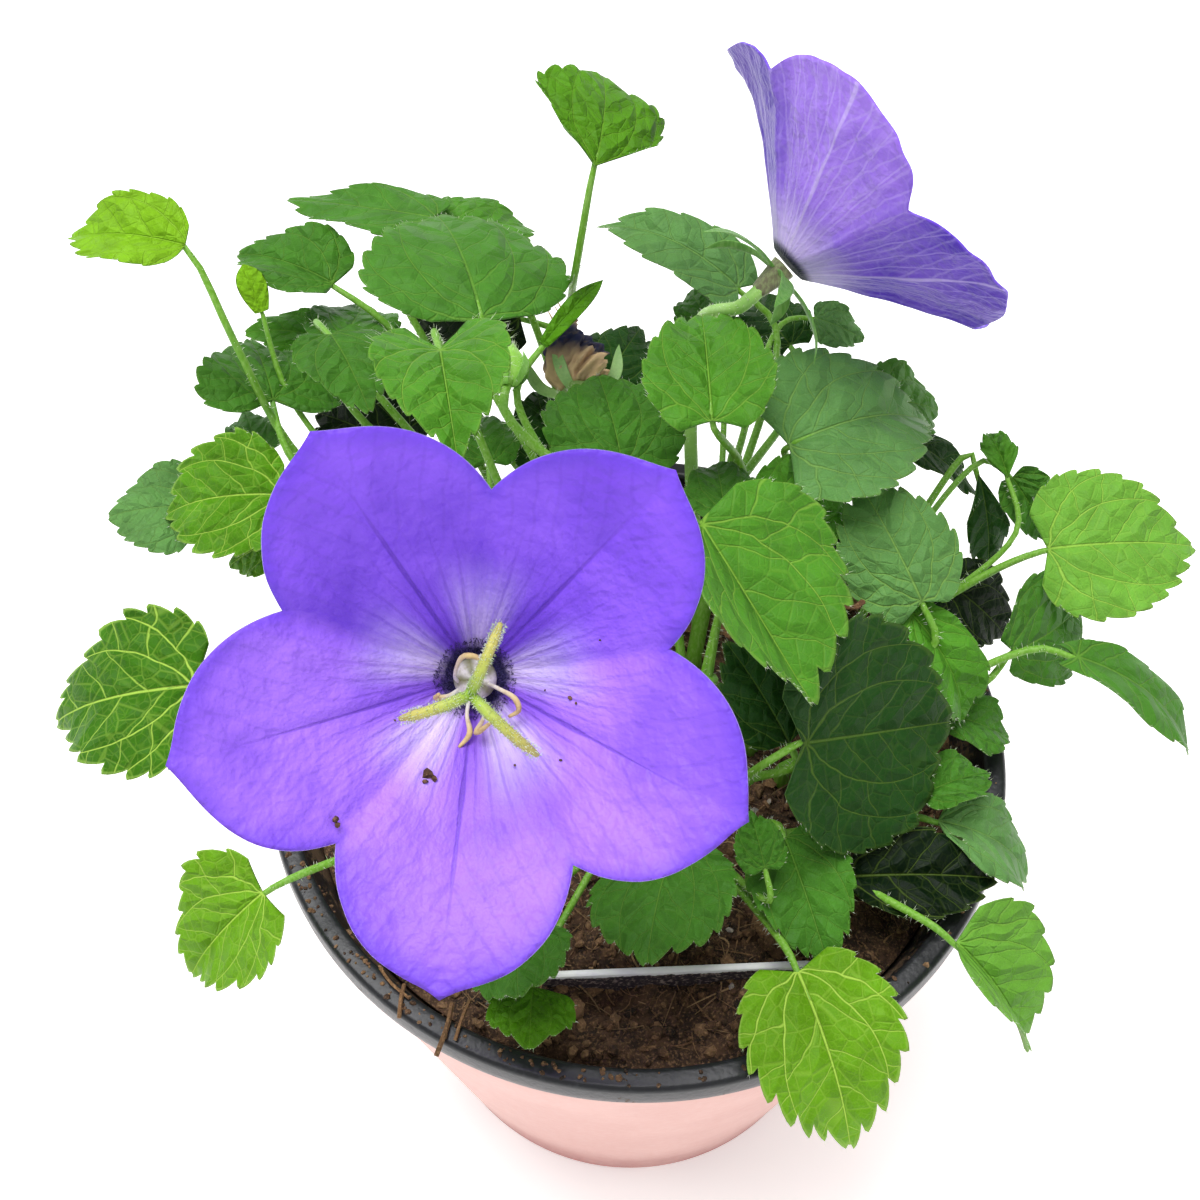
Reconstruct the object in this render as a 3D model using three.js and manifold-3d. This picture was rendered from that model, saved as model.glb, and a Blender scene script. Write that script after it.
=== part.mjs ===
// Potted carpathian bellflower: pot, cover pot, soil, plant label, leafy stems and two open blooms.
// Millimetres, +Z up, +Y away from the viewer; the origin is the centre of the pot's flat base.
import * as THREE from 'three';
import { mergeVertices } from 'three/addons/utils/BufferGeometryUtils.js';
import Module from 'manifold-3d';

const wasm = await Module();
wasm.setup();

// Pots: a standard 10.5 cm grow pot whose rolled lip hangs over a coloured cover pot
const potHeight = 86.5;
const lipRadius = 52.5;
const lipDepth = 4.4;
const lipWidth = 3.2;
const lipRound = 0.9;
const lipEdge = 0.5;
const growTopRadius = 49.2;
const growBaseRadius = 31.2;
const growWall = 1.2;
const growFloor = 1.4;
const coverTopRadius = 51.4;
const coverBaseRadius = 34.6;
const coverWall = 1.5;
const coverFloor = 1.6;
const heelRound = 3.4;
const potSides = 32;
const clearance = 0.3;
const drainHoles = 4;
const drainRadius = 4;
const drainRing = 20;
const holeSides = 8;

// Soil: fills the grow pot to 8 mm below its lip, with a crumbly top
const soilTop = 78.5;
const soilRelief = 0.8;
const soilWaves = {
  long: { x: 0.19, y: 0.23, shift: 1.1, size: 0.6 },
  short: 0.58,
  slant: 0.65,
  mound: { height: 1.5, spread: 26.5 },
};
const soilDrop = 0.6;
const soilRings = 3;
const stemDepth = 8;
const stemHoleSides = 6;

// Plant label: a thick plate pushed into the soil, its top edge 5 mm proud
const labelLeft = [-12.7, -36.0];
const labelRight = [23.0, -34.4];
const labelTop = 84;
const labelThickness = 0.9;
const labelLength = 58;
const labelStraight = 16;
const labelFoot = 9;
const labelCorner = 1;
const labelLean = 0.1;

// Leaves and stems
const bladeThickness = 0.7;
const lobeBack = 0.14;
const hipShift = 0.24;
const sinusStop = 2.72;
const toothDepth = 0.03;
const tipPoint = 0.07;
const tipSpread = 0.22;
const innerRing = 0.55;
const faceViewer = 0.5;
const petioleRadius = 0.8;
const petioleSides = 4;
const petioleSteps = 3;
const petioleViaSteps = 6;
const petioleSink = 2.6;
const petioleUnder = 0.6;
const petioleSag = { back: 0.16, down: 0.1 };
const shootRadius = 1.5;
const shootSides = 5;
const shootSteps = 4;
const shootStraight = 2.5;
const stemMouth = 1;
const petiolesFrom = 0.5;
const petiolesSpan = 0.45;
const midribFold = 0.12;
const midribArch = 0.08;
const bladeCup = -0.08;
const edgeWave = 0.5;
const edgeWaveTurns = 4.6;
const lobeEnd = -0.15;
const wideLeaf = { over: 18, steps: 8 };
const middleLeaf = { over: 12, steps: 6 };
const smallLeafSteps = 5;
const bractRise = 0.08;

// Blooms: a wide bell of five joined petals, about 58 mm across its tips
const petalCount = 5;
const petalThickness = 0.75;
const slopeStep = 0.01;
const bloomSectors = 40;
const bloomRings = [0.11, 0.35, 0.6, 0.82, 1];
const lobeCurve = 2;
const lobePoint = 0.15;
const lobePointSpread = 0.12;
const throatReach = 0.11;
const ovaryLength = 4.8;
const ovaryRadius = 1.8;
const sepalLength = 11;
const sepalWidth = 2.8;
const sepalPath = [[-0.09, 1.2], [0.35, 1.6], [0.75, 3.4], [0.95, 5.6]];
const lanceThickness = 0.7;
const lanceSteps = 3;
const lanceRoot = 0.45;
const lanceSwell = 1.6;
const bloomStemRadius = 1.1;
const bloomStemSteps = 10;
const bloomStemLead = 2.5;
const bloomStemSink = 1;

// Pistil: a style with three curved stigma arms, given by turn in degrees and length, over a
// small dome that carries five curled, withered stamens
const domeRadius = 2.3;
const domeHeight = 1.9;
const domeSides = 8;
const domeShoulder = { out: 0.8, up: 0.7 };
const styleRadius = 0.65;
const styleLength = 14;
const stigmaRadius = 0.62;
const stigmaArms = [[67, 7.4], [199, 7.2], [317, 8.8]];
const stamenRadius = 0.5;
const pistilSides = 4;
const stamenSides = 3;
const pistilSteps = 3;
const armPath = [[-0.04, -1], [0.3, 1], [0.7, 0.9], [1, -0.8]];
const stamenPath = [[1.2, 0, 0.7], [3.2, 0.1, 3.4], [5, 0.35, 4.4], [4.6, 0.75, 4]];

// Withered bloom of the back stem, a twisted bundle on its green calyx, and one young bud
const withered = { at: [578, 388, 110], tip: [565, 318], long: 13, wide: 8.6 };
const witheredRings = [[0, 0.5], [0.15, 0.9], [0.4, 1], [0.62, 0.75], [0.82, 0.4], [1, 0.15]];
const witheredSectors = 9;
const witheredTwist = 2.4;
const witheredRibs = { count: 3, depth: 0.22 };
const calyxHeight = 4;
const calyxFoot = 1.1;
const calyxWide = 2.4;
const calyxSepal = [[1, 2.6], [5.4, 5], [7.3, 11]];
const calyxSepalWidth = 2;
const stalkStraight = 4;
const stalkSink = 1.2;
const budProfile = [[0, 0], [0.6, 0.05], [1, 0.4], [0.5, 0.8], [0, 1]];
const bud = { at: [508, 386, 124], tip: [513, 344], long: 6.5, wide: 4.4 };

// The two blooms. faces is the way the mouth looks, in degrees round from +X and up from level;
// notches is how far out the edge reaches between one petal and the next, from the first tip on,
// and lifts how many millimetres each petal's tip stands out of the bell's mouth.
const blooms = [
  { name: 'bloom_front', centre: [-17.5, -40, 155], faces: [-86, 49], up: [0, 0.75, 0.66],
    radius: 29, depth: 18, curve: 1.35, firstTip: 48, notches: [0.68, 0.68, 0.68, 0.68, 0.68],
    lifts: [0, 0, 0, 0, 0], root: [-8, -3], knee: [-11, -10, 112] },
  { name: 'bloom_back', centre: [31.3, 48.3, 145], faces: [32, 29], up: [0, -0.6, 0.8],
    radius: 26.5, depth: 15, curve: 1.3, firstTip: 72, notches: [0.8, 0.85, 0.75, 0.7, 0.85],
    lifts: [1, 0, 1, 0, -2], root: [10, 21], knee: [8.6, 46, 121] },
];

// Where the plant is looked at from, so that a leaf can be placed by where it is seen
const eye = new THREE.Vector3(-5.2, -123.2, 280.6);
const lookDown = THREE.MathUtils.degToRad(52.9);
const focalPixels = 1600;
const framePixels = 1200;
const lookRight = new THREE.Vector3(1, 0, 0);
const lookAhead = new THREE.Vector3(0, Math.cos(lookDown), -Math.sin(lookDown));
const lookUp = new THREE.Vector3(0, Math.sin(lookDown), Math.cos(lookDown));

// Leafy stems, each with its place in the soil and the top of its shoot. A leaf's petiole ends
// where it is seen at x, y and the height given; its tip is seen at x, y, as far off as the leaf
// is long. long and wide are the blade's size, near a tip that comes towards the viewer, roll a
// turn about the midrib in degrees, face how far it turns to the viewer, narrow a bract.
const leafyStems = [
  { name: 'stem_left_back', root: [-14, 9], top: [-19, 12, 92], leaves: [
    { name: 'l1', at: [185, 246, 135], tip: [73, 238], long: 17, wide: 13, face: 0.4, roll: 10, fold: 0.4,
      lobes: 0.05, hips: 0.1, via: [[295, 452, 108], [236, 345, 124]] },
    { name: 'l10', at: [273, 400, 114], tip: [250, 343], long: 14, wide: 20, face: 0.7, roll: 25,
      lobes: 0.3, hips: 0.4 },
    { name: 'l2', at: [262, 312, 122], tip: [243, 264], long: 8, wide: 4.5, narrow: true },
  ] },
  { name: 'stem_back_left', root: [-7, 15], top: [-12, 21, 93], leaves: [
    { name: 'l3', at: [333, 284, 120], tip: [240, 256], long: 17, wide: 15, face: 0.4, roll: 20, fold: 0.4 },
    { name: 'l8', at: [327, 340, 108], tip: [246, 332], long: 13, wide: 10, face: 0.2, roll: 10 },
    { name: 'l9', at: [331, 335, 124], tip: [369, 412], long: 16, wide: 13, near: true, roll: -10 },
    { name: 'l9b', at: [345, 341, 116], tip: [368, 308], long: 15, wide: 13.5, face: 0.3 },
  ] },
  { name: 'stem_back', root: [0, 20], top: [-6, 27, 92], leaves: [
    { name: 'l4', at: [483, 322, 128], tip: [438, 215], long: 27, wide: 29, face: 0.4, roll: 15, fold: 0,
      lobes: 0, via: [[532, 455, 110], [484, 372, 119]] },
    { name: 'l5', at: [432, 218, 123], tip: [290, 203], long: 23, wide: 14, face: 0.3, roll: 25, arch: 0.02 },
    { name: 'l6', at: [450, 230, 121], tip: [533, 231], long: 14, wide: 16, face: 0.2, roll: -15 },
    { name: 'l54', at: [520, 318, 111], tip: [412, 320], long: 18, wide: 16 },
    { name: 'l53', at: [600, 392, 103], tip: [640, 330], long: 15, wide: 13 },
    { name: 'l7', at: [595, 166, 150], tip: [604, 75], long: 16, wide: 18, roll: 25, fold: 0,
      lobes: -0.15, hips: -0.25, via: [[568, 335, 99], [572, 292, 118], [577, 262, 134]] },
  ] },
  { name: 'stem_back_tall', root: [-7, 6], top: [-10, 12, 96], leaves: [
    { name: 'l11', at: [440, 350, 136], tip: [457, 456], long: 19, wide: 17, near: true, face: 0.2,
      fold: 0.4, lobes: 0.35 },
    { name: 'l51', at: [405, 452, 102], tip: [318, 412], long: 16, wide: 17 },
    { name: 'l52', at: [488, 462, 108], tip: [480, 418], long: 11, wide: 10 },
    { name: 'l55', at: [552, 462, 103], tip: [537, 392], long: 13, wide: 12 },
  ] },
  { name: 'stem_bud', root: [2, 12], top: [3, 18, 108], buds: true, leaves: [
    { name: 'l12', at: [543, 345, 126], tip: [603, 280], long: 14, wide: 3.2, narrow: true },
    { name: 'l15', at: [622, 464, 113], tip: [598, 379], long: 15, wide: 20.5, face: 0.3, roll: 10,
      lobes: 0.3, hips: -0.1 },
  ] },
  { name: 'stem_back_bloom', root: [9, 16], top: [14, 30, 112], leaves: [
    { name: 'l18', at: [738, 288, 117], tip: [600, 226], long: 24, wide: 12, face: 0.1, fold: 0.2,
      arch: 0.15, hips: 0.35 },
    { name: 'l18b', at: [712, 330, 112], tip: [690, 293], long: 10, wide: 9 },
    { name: 'dark1', at: [790, 345, 108], tip: [748, 302], long: 13, wide: 11 },
    { name: 'grey', at: [815, 318, 112], tip: [862, 340], long: 9, wide: 7 },
  ] },
  { name: 'stem_back_right', root: [14, 9], top: [19, 15, 98], leaves: [
    { name: 'l16', at: [712, 421, 129], tip: [702, 315], long: 20, wide: 17, fold: 0.3,
      via: [[745, 480, 112]] },
    { name: 'l17', at: [789, 445, 121], tip: [926, 420], long: 23, wide: 23, face: 0.3, fold: 0.2,
      arch: 0.15, hips: 0.4, via: [[785, 466, 112]] },
    { name: 'l20', at: [880, 400, 110], tip: [936, 412], long: 13, wide: 13 },
    { name: 'l28', at: [908, 440, 105], tip: [974, 497], long: 14, wide: 8, face: 0.2, roll: -20,
      fold: 0.2, hips: 0.4 },
  ] },
  { name: 'stem_centre', root: [5, -1], top: [10, 0, 100], leaves: [
    { name: 'l21', at: [699, 522, 127], tip: [811, 700], long: 26, wide: 29, near: true, face: 0.3,
      roll: -35, fold: 0.5, arch: 0 },
    { name: 'l22', at: [766, 526, 115], tip: [839, 480], long: 13, wide: 14, roll: 15, hips: 0 },
    { name: 'l23', at: [725, 512, 118], tip: [716, 463], long: 10, wide: 10 },
  ] },
  { name: 'stem_right', root: [17, 2], top: [23, 2, 94], leaves: [
    { name: 'l24', at: [922, 602, 110], tip: [860, 485], long: 18, wide: 16, fold: 0, hips: 0.1 },
    { name: 'l25', at: [911, 614, 107], tip: [962, 720], long: 17, wide: 10, face: 0.2, roll: -10,
      fold: 0.4, arch: 0.15, hips: -0.2 },
  ] },
  { name: 'stem_right_far', root: [22, 8], top: [30, 9, 92], leaves: [
    { name: 'l30', at: [1048, 549, 106], tip: [1191, 546], long: 22, wide: 22 },
    { name: 'l31a', at: [1008, 478, 110], tip: [989, 432], long: 9, wide: 5, face: 0.3, fold: 0.3,
      lobes: -0.2 },
    { name: 'l31b', at: [1012, 478, 108], tip: [1048, 540], long: 11, wide: 8, fold: 0.5 },
    { name: 'l29', at: [978, 474, 104], tip: [986, 563], long: 14, wide: 7, roll: -25, hips: -0.3,
      lobes: -0.2 },
    { name: 'dark2', at: [950, 585, 99], tip: [1005, 635], long: 13, wide: 12 },
  ] },
  { name: 'stem_right_low', root: [21, -4], top: [28, -4, 88], leaves: [
    { name: 'l32', at: [1014, 652, 99], tip: [1078, 608], long: 15, wide: 16, face: 0.7, roll: 35,
      fold: 0, hips: -0.3 },
    { name: 'l33', at: [1076, 657, 102], tip: [1189, 749], long: 24, wide: 11, face: 0.3, roll: -25,
      arch: 0.12, hips: -0.2 },
    { name: 'l34', at: [946, 715, 93], tip: [1008, 739], long: 10, wide: 9.5, face: 0.1, roll: -5,
      fold: 0.2, hips: -0.2 },
    { name: 'l35', at: [924, 795, 95], tip: [987, 774], long: 10, wide: 9, face: 0.2, roll: -15,
      fold: 0.3, hips: 0 },
  ] },
  { name: 'stem_front_right', root: [12, -8], top: [15, -11, 92], leaves: [
    { name: 'l26', at: [803, 743, 108], tip: [949, 722], long: 23, wide: 31, face: 0.7, roll: 25,
      arch: 0, lobes: 0.2, hips: 0 },
    { name: 'l27', at: [789, 743, 103], tip: [727, 643], long: 15, wide: 11.5, face: 0.3, lobes: 0 },
  ] },
  { name: 'stem_front_low', root: [16, -15], top: [20, -18, 86], leaves: [
    { name: 'l36', at: [938, 821, 92], tip: [1025, 877], long: 17, wide: 13, face: 0.3, roll: -20,
      fold: 0.2, arch: 0.15, lobes: 0, hips: 0 },
    { name: 'l37', at: [845, 877, 90], tip: [994, 878], long: 20, wide: 12, face: 0.5, fold: 0.3,
      lobes: 0, hips: 0 },
    { name: 'l38', at: [956, 943, 92], tip: [1024, 1048], long: 20, wide: 15.5, fold: 0.8, roll: -35,
      hips: 0.5 },
  ] },
  { name: 'stem_front', root: [7, -14], top: [9, -18, 86], leaves: [
    { name: 'l39', at: [785, 838, 93], tip: [828, 966], long: 17.5, wide: 13.5, near: true, face: 0.4,
      fold: 0.2 },
    { name: 'l40', at: [765, 868, 98], tip: [750, 812], long: 7.5, wide: 6.5 },
    { name: 'l42', at: [798, 972, 92], tip: [849, 1142], long: 22, wide: 19.5, face: 0.2, fold: 0.2,
      arch: 0.18 },
  ] },
  { name: 'stem_front_left', root: [-2, -13], top: [-4, -17, 86], leaves: [
    { name: 'l41', at: [674, 850, 95], tip: [648, 963], long: 16.5, wide: 19.5, near: true, face: 0.2,
      roll: 20, fold: 0, hips: 0 },
    { name: 'l43', at: [523, 929, 93], tip: [520, 998], long: 12, wide: 14, near: true, face: 0.3,
      roll: 25, fold: 0, lobes: 0, hips: 0 },
    { name: 'l44', at: [533, 988, 90], tip: [529, 1045], long: 9, wide: 11, near: true, face: 0.2,
      fold: 0, lobes: 0, hips: 0 },
  ] },
  { name: 'stem_left', root: [-14, -8], top: [-19, -10, 88], leaves: [
    { name: 'l45', at: [263, 893, 95], tip: [191, 973], long: 17, wide: 16.5, face: 0.3, fold: 0.35,
      hips: 0.45 },
    { name: 'l46', at: [195, 686, 101], tip: [59, 721], long: 24, wide: 22, arch: 0.14, hips: 0.4 },
    { name: 'h2', at: [440, 760, 98], tip: [370, 800], long: 15, wide: 15 },
  ] },
  { name: 'stem_left_mid', root: [-17, 1], top: [-24, 2, 91], leaves: [
    { name: 'l47', at: [285, 495, 112], tip: [168, 513], long: 18, wide: 18, fold: 0.2, arch: 0.16,
      lobes: 0.05 },
    { name: 'l48', at: [198, 507, 106], tip: [111, 518], long: 13, wide: 15, face: 0.2 },
    { name: 'l49', at: [275, 540, 104], tip: [232, 566], long: 9, wide: 8 },
    { name: 'l50', at: [258, 452, 107], tip: [246, 414], long: 9, wide: 8 },
  ] },
];

const model = new THREE.Group();

function finish(color, roughness) {
  return new THREE.MeshStandardMaterial({ color, roughness, metalness: 0 });
}

function addPart(name, geometry, material) {
  const mesh = new THREE.Mesh(geometry, material);
  mesh.name = name;
  model.add(mesh);
}

function solidOf(geometry) {
  const bare = geometry.clone();
  bare.deleteAttribute('normal');
  bare.deleteAttribute('uv');
  const merged = mergeVertices(bare, 1e-4);
  const vertProperties = new Float32Array(merged.attributes.position.array);
  const triVerts = new Uint32Array(merged.index.array);
  return new wasm.Manifold(new wasm.Mesh({ numProp: 3, vertProperties, triVerts }));
}

function geometryOf(solid) {
  const { vertProperties, triVerts } = solid.getMesh();
  const position = new THREE.BufferAttribute(new Float32Array(vertProperties), 3);
  const geometry = new THREE.BufferGeometry();
  geometry.setAttribute('position', position);
  geometry.setIndex(new THREE.BufferAttribute(new Uint32Array(triVerts), 1));
  geometry.computeVertexNormals();
  return geometry;
}

function join(solids) {
  return solids.reduce((whole, solid) => whole.add(solid));
}

function meshFrom(points, faces) {
  const geometry = new THREE.BufferGeometry().setFromPoints(points);
  geometry.setIndex(faces.flat());
  return geometry;
}

function at([x, y, z]) {
  return new THREE.Vector3(x, y, z);
}

function sightLine(x, y) {
  const half = framePixels / 2;
  return lookAhead.clone()
    .addScaledVector(lookRight, (x - half) / focalPixels)
    .addScaledVector(lookUp, (half - y) / focalPixels);
}

// The point at a given height on the line of sight through a place in the view
function seenAt([x, y, height]) {
  const ray = sightLine(x, y);
  return eye.clone().addScaledVector(ray, (height - eye.z) / ray.z);
}

// Where the line of sight through (x, y) meets the ball of radius reach round a point
function seenAtReach(from, reach, [x, y], near) {
  const ray = sightLine(x, y).normalize();
  const offset = from.clone().sub(eye);
  const closest = offset.dot(ray);
  const gap = Math.max(0, reach ** 2 - offset.lengthSq() + closest ** 2);
  return eye.clone().addScaledVector(ray, closest + (near ? -1 : 1) * Math.sqrt(gap));
}

function smooth(points) {
  return new THREE.CatmullRomCurve3(points, false, 'centripetal');
}

// A tube along a smooth curve through the given points, closed at both ends
function tube(points, radius, sides, steps) {
  const corners = Array.from({ length: sides }, (_, i) => {
    const turn = (2 * Math.PI * i) / sides;
    return new THREE.Vector2(radius * Math.cos(turn), radius * Math.sin(turn));
  });
  const options = { steps, extrudePath: smooth(points), curveSegments: 1 };
  return solidOf(new THREE.ExtrudeGeometry(new THREE.Shape(corners), options));
}

// A body turned round the upright axis from its profile of [radius, height] points
function lathe(profile, sides = potSides) {
  return new THREE.LatheGeometry(profile.map(([r, z]) => new THREE.Vector2(r, z)), sides)
    .rotateX(Math.PI / 2);
}

function arcPoints(centreR, centreZ, radius, from, to, count) {
  return Array.from({ length: count + 1 }, (_, i) => {
    const turn = from + ((to - from) * i) / count;
    return [centreR + radius * Math.cos(turn), centreZ + radius * Math.sin(turn)];
  });
}

function uprightHole(x, y, z, radius, height, sides) {
  const hole = new THREE.CylinderGeometry(radius, radius, height, sides).rotateX(Math.PI / 2);
  return solidOf(hole.translate(x, y, z));
}

function coverPot() {
  const top = potHeight - lipDepth - clearance;
  const slope = (coverTopRadius - coverBaseRadius) / top;
  const outer = (z) => coverBaseRadius + slope * z;
  const heel = arcPoints(outer(heelRound) - heelRound, heelRound, heelRound, -Math.PI / 2, 0, 4);
  return lathe([
    [0, 0],
    ...heel,
    [outer(top), top],
    [outer(top) - coverWall, top],
    [outer(coverFloor) - coverWall, coverFloor],
    [0, coverFloor],
  ]);
}

function growPot() {
  const bottom = coverFloor + clearance;
  const under = potHeight - lipDepth;
  const innerTop = lipRadius - lipWidth;
  const roundZ = potHeight - lipRound;
  const shell = solidOf(lathe([
    [0, bottom],
    [growBaseRadius, bottom],
    [growTopRadius, under],
    [lipRadius - lipEdge, under],
    [lipRadius, under + lipEdge],
    ...arcPoints(lipRadius - lipRound, roundZ, lipRound, 0, Math.PI / 2, 2),
    ...arcPoints(innerTop + lipRound, roundZ, lipRound, Math.PI / 2, Math.PI, 2),
    [growTopRadius - growWall, under - growWall],
    [growBaseRadius - growWall, bottom + growFloor],
    [0, bottom + growFloor],
  ]));
  const drains = Array.from({ length: drainHoles }, (_, i) => {
    const turn = (2 * Math.PI * (i + 0.5)) / drainHoles;
    const [x, y] = [drainRing * Math.cos(turn), drainRing * Math.sin(turn)];
    return uprightHole(x, y, bottom, drainRadius, 4 * growFloor, holeSides);
  });
  return geometryOf(shell.subtract(join(drains)));
}

// Soil top: low waves at three scales, a little higher round the crown
function soilHeight(x, y) {
  const { long, short, slant, mound } = soilWaves;
  const coarse = Math.sin(long.x * x + long.shift) * Math.cos(long.y * y - long.shift / 2);
  const fine = Math.sin(short * (x - slant * y)) + Math.cos(short * (y + slant * x));
  const middle = Math.exp(-(x * x + y * y) / mound.spread ** 2);
  return soilTop + soilRelief * (long.size * coarse + (1 - long.size) * fine) + mound.height * middle;
}

function soil(holes) {
  const bottom = coverFloor + 2 * clearance + growFloor;
  const slope = (growTopRadius - growBaseRadius) / (potHeight - lipDepth - bottom);
  const innerRadius = (z) => growBaseRadius - growWall - clearance + slope * (z - bottom);
  const edge = soilTop - soilDrop;
  const rings = Array.from({ length: soilRings }, (_, i) => {
    return [(innerRadius(edge) * (soilRings - i)) / soilRings, edge];
  });
  const geometry = lathe([[0, bottom], [innerRadius(bottom), bottom], ...rings, [0, edge]]);
  const position = geometry.attributes.position;
  for (let i = 0; i < position.count; i += 1) {
    const [x, y] = [position.getX(i), position.getY(i)];
    if (position.getZ(i) > bottom + soilDrop && Math.hypot(x, y) < innerRadius(edge) - soilDrop) {
      position.setZ(i, soilHeight(x, y));
    }
  }
  return geometryOf(holes.reduce((body, hole) => body.subtract(hole), solidOf(geometry)));
}

// The label's plate with cut top corners and a foot that narrows; grow widens it for its slot,
// which also opens upwards
function labelPlate(grow) {
  const [left, right] = [new THREE.Vector2(...labelLeft), new THREE.Vector2(...labelRight)];
  const half = left.distanceTo(right) / 2 + grow;
  const foot = labelFoot / 2 + grow;
  const top = grow > 0 ? potHeight - labelTop : 0;
  const corners = [
    [-foot, -labelLength - grow],
    [foot, -labelLength - grow],
    [half, -labelStraight],
    [half, top - labelCorner],
    [half - labelCorner, top],
    [labelCorner - half, top],
    [-half, top - labelCorner],
    [-half, -labelStraight],
  ];
  const plate = new THREE.Shape(corners.map(([x, y]) => new THREE.Vector2(x, y)));
  const depth = labelThickness + 2 * grow;
  return new THREE.ExtrudeGeometry(plate, { depth, bevelEnabled: false })
    .translate(0, 0, -depth / 2)
    .rotateX(Math.PI / 2 + labelLean)
    .rotateZ(Math.atan2(right.y - left.y, right.x - left.x))
    .translate((left.x + right.x) / 2, (left.y + right.y) / 2, labelTop);
}

// A leaf's own axes: x to its tip, z off its upper face, turned part of the way to the viewer
function bladeFrame(leaf) {
  const base = seenAt(leaf.at);
  const tip = seenAtReach(base, leaf.long, leaf.tip, leaf.near);
  const along = tip.clone().sub(base).normalize();
  const facing = leaf.face ?? faceViewer;
  const upward = new THREE.Vector3(0, 0, 1 - facing)
    .addScaledVector(eye.clone().sub(base).normalize(), facing);
  const normal = upward.addScaledVector(along, -upward.dot(along)).normalize();
  normal.applyAxisAngle(along, THREE.MathUtils.degToRad(leaf.roll ?? 0));
  const across = new THREE.Vector3().crossVectors(normal, along);
  return { base, along, across, normal, long: base.distanceTo(tip) };
}

// The heart-shaped outline by the angle turn round it, 0 at the tip and sinusStop at the notch,
// scaled by reach from the petiole's end, then folded, arched, cupped and waved out of its plane
function bladePoint(leaf, frame, turn, reach, tooth) {
  const lobes = leaf.lobes ?? lobeBack;
  const point = tipPoint * Math.exp(-((turn / tipSpread) ** 2));
  const swell = reach * (1 + tooth * toothDepth + point);
  const stretch = (((1 + lobes) / 2) * Math.cos(turn) + (1 - lobes) / 2) / (1 + tipPoint);
  const x = frame.long * swell * stretch;
  const narrowing = 1 - (leaf.hips ?? hipShift) * Math.cos(turn);
  const y = (leaf.wide / 2) * swell * Math.sin(turn) * narrowing;
  const part = Math.max(x / frame.long, lobeEnd);
  const side = (2 * y) / leaf.wide;
  const lift = (leaf.fold ?? midribFold) * Math.abs(y)
    + (leaf.arch ?? midribArch) * frame.long * 4 * part * (1 - part)
    + bladeCup * (leaf.wide / 2) * side * side
    + edgeWave * reach ** 3 * Math.sin(edgeWaveTurns * turn + leaf.wide);
  return [x, y, lift];
}

function placeInBlade(frame, [x, y, z]) {
  return frame.base.clone()
    .addScaledVector(frame.along, x)
    .addScaledVector(frame.across, y)
    .addScaledVector(frame.normal, z);
}

// Outline steps from the notch to the tip, more of them on a wider leaf
function bladeSteps(leaf) {
  if (leaf.wide > wideLeaf.over) return wideLeaf.steps;
  return leaf.wide > middleLeaf.over ? middleLeaf.steps : smallLeafSteps;
}

// A leaf blade: a fan from the petiole's end, an inner ring and a toothed edge, the same
// triangles on both faces
function blade(leaf, frame) {
  const half = bladeSteps(leaf);
  const locals = [[0, 0, 0]];
  for (let i = 0; i <= half; i += 1) {
    locals.push(bladePoint(leaf, frame, sinusStop * (1 - (2 * i) / half), innerRing, 0));
  }
  for (let i = 0; i <= 2 * half; i += 1) {
    locals.push(bladePoint(leaf, frame, sinusStop * (1 - i / half), 1, i % 2 ? 1 : -1));
  }
  const face = (offset) => locals.map(([x, y, z]) => placeInBlade(frame, [x, y, z + offset]));
  const points = [...face(bladeThickness / 2), ...face(-bladeThickness / 2)];
  const count = locals.length;
  const edge = half + 2;
  const top = [];
  for (let i = 0; i < half; i += 1) {
    const [r, e] = [1 + i, edge + 2 * i];
    top.push([0, r + 1, r], [r, e + 1, e], [r, r + 1, e + 1], [r + 1, e + 2, e + 1]);
  }
  const faces = [...top, ...top.map(([a, b, c]) => [a + count, c + count, b + count])];
  const outline = [0, 1, ...Array.from({ length: 2 * half + 1 }, (_, i) => edge + i), 1 + half];
  outline.forEach((a, i) => {
    const b = outline[(i + 1) % outline.length];
    faces.push([a, b, b + count], [a, b + count, a + count]);
  });
  return solidOf(meshFrom(points, faces));
}

// A narrow pointed leaf such as a sepal or bract, creased along a curve through the points;
// its middle line and two edges are joined step by step and end in one point
function lance(points, width, lift, steps = lanceSteps) {
  const curve = smooth(points);
  const sections = Array.from({ length: steps }, (_, i) => {
    const part = i / steps;
    const middle = curve.getPointAt(part);
    const along = curve.getTangentAt(part);
    const side = new THREE.Vector3().crossVectors(lift, along).normalize();
    const over = new THREE.Vector3().crossVectors(along, side).multiplyScalar(lanceThickness / 2);
    const half = (width / 2) * (lanceRoot + lanceSwell * part) * (1 - part ** 2);
    const line = [half, 0, -half].map((out) => middle.clone().addScaledVector(side, out));
    return { line, over };
  });
  const face = (sign) => sections.flatMap(({ line, over }) => {
    return line.map((p) => p.clone().addScaledVector(over, sign));
  });
  const end = curve.getPointAt(1);
  const { over } = sections[steps - 1];
  const ends = [1, -1].map((sign) => end.clone().addScaledVector(over, sign / 2));
  return solidOf(meshFrom([...face(1), ...face(-1), ...ends], lanceFaces(steps)));
}

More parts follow.
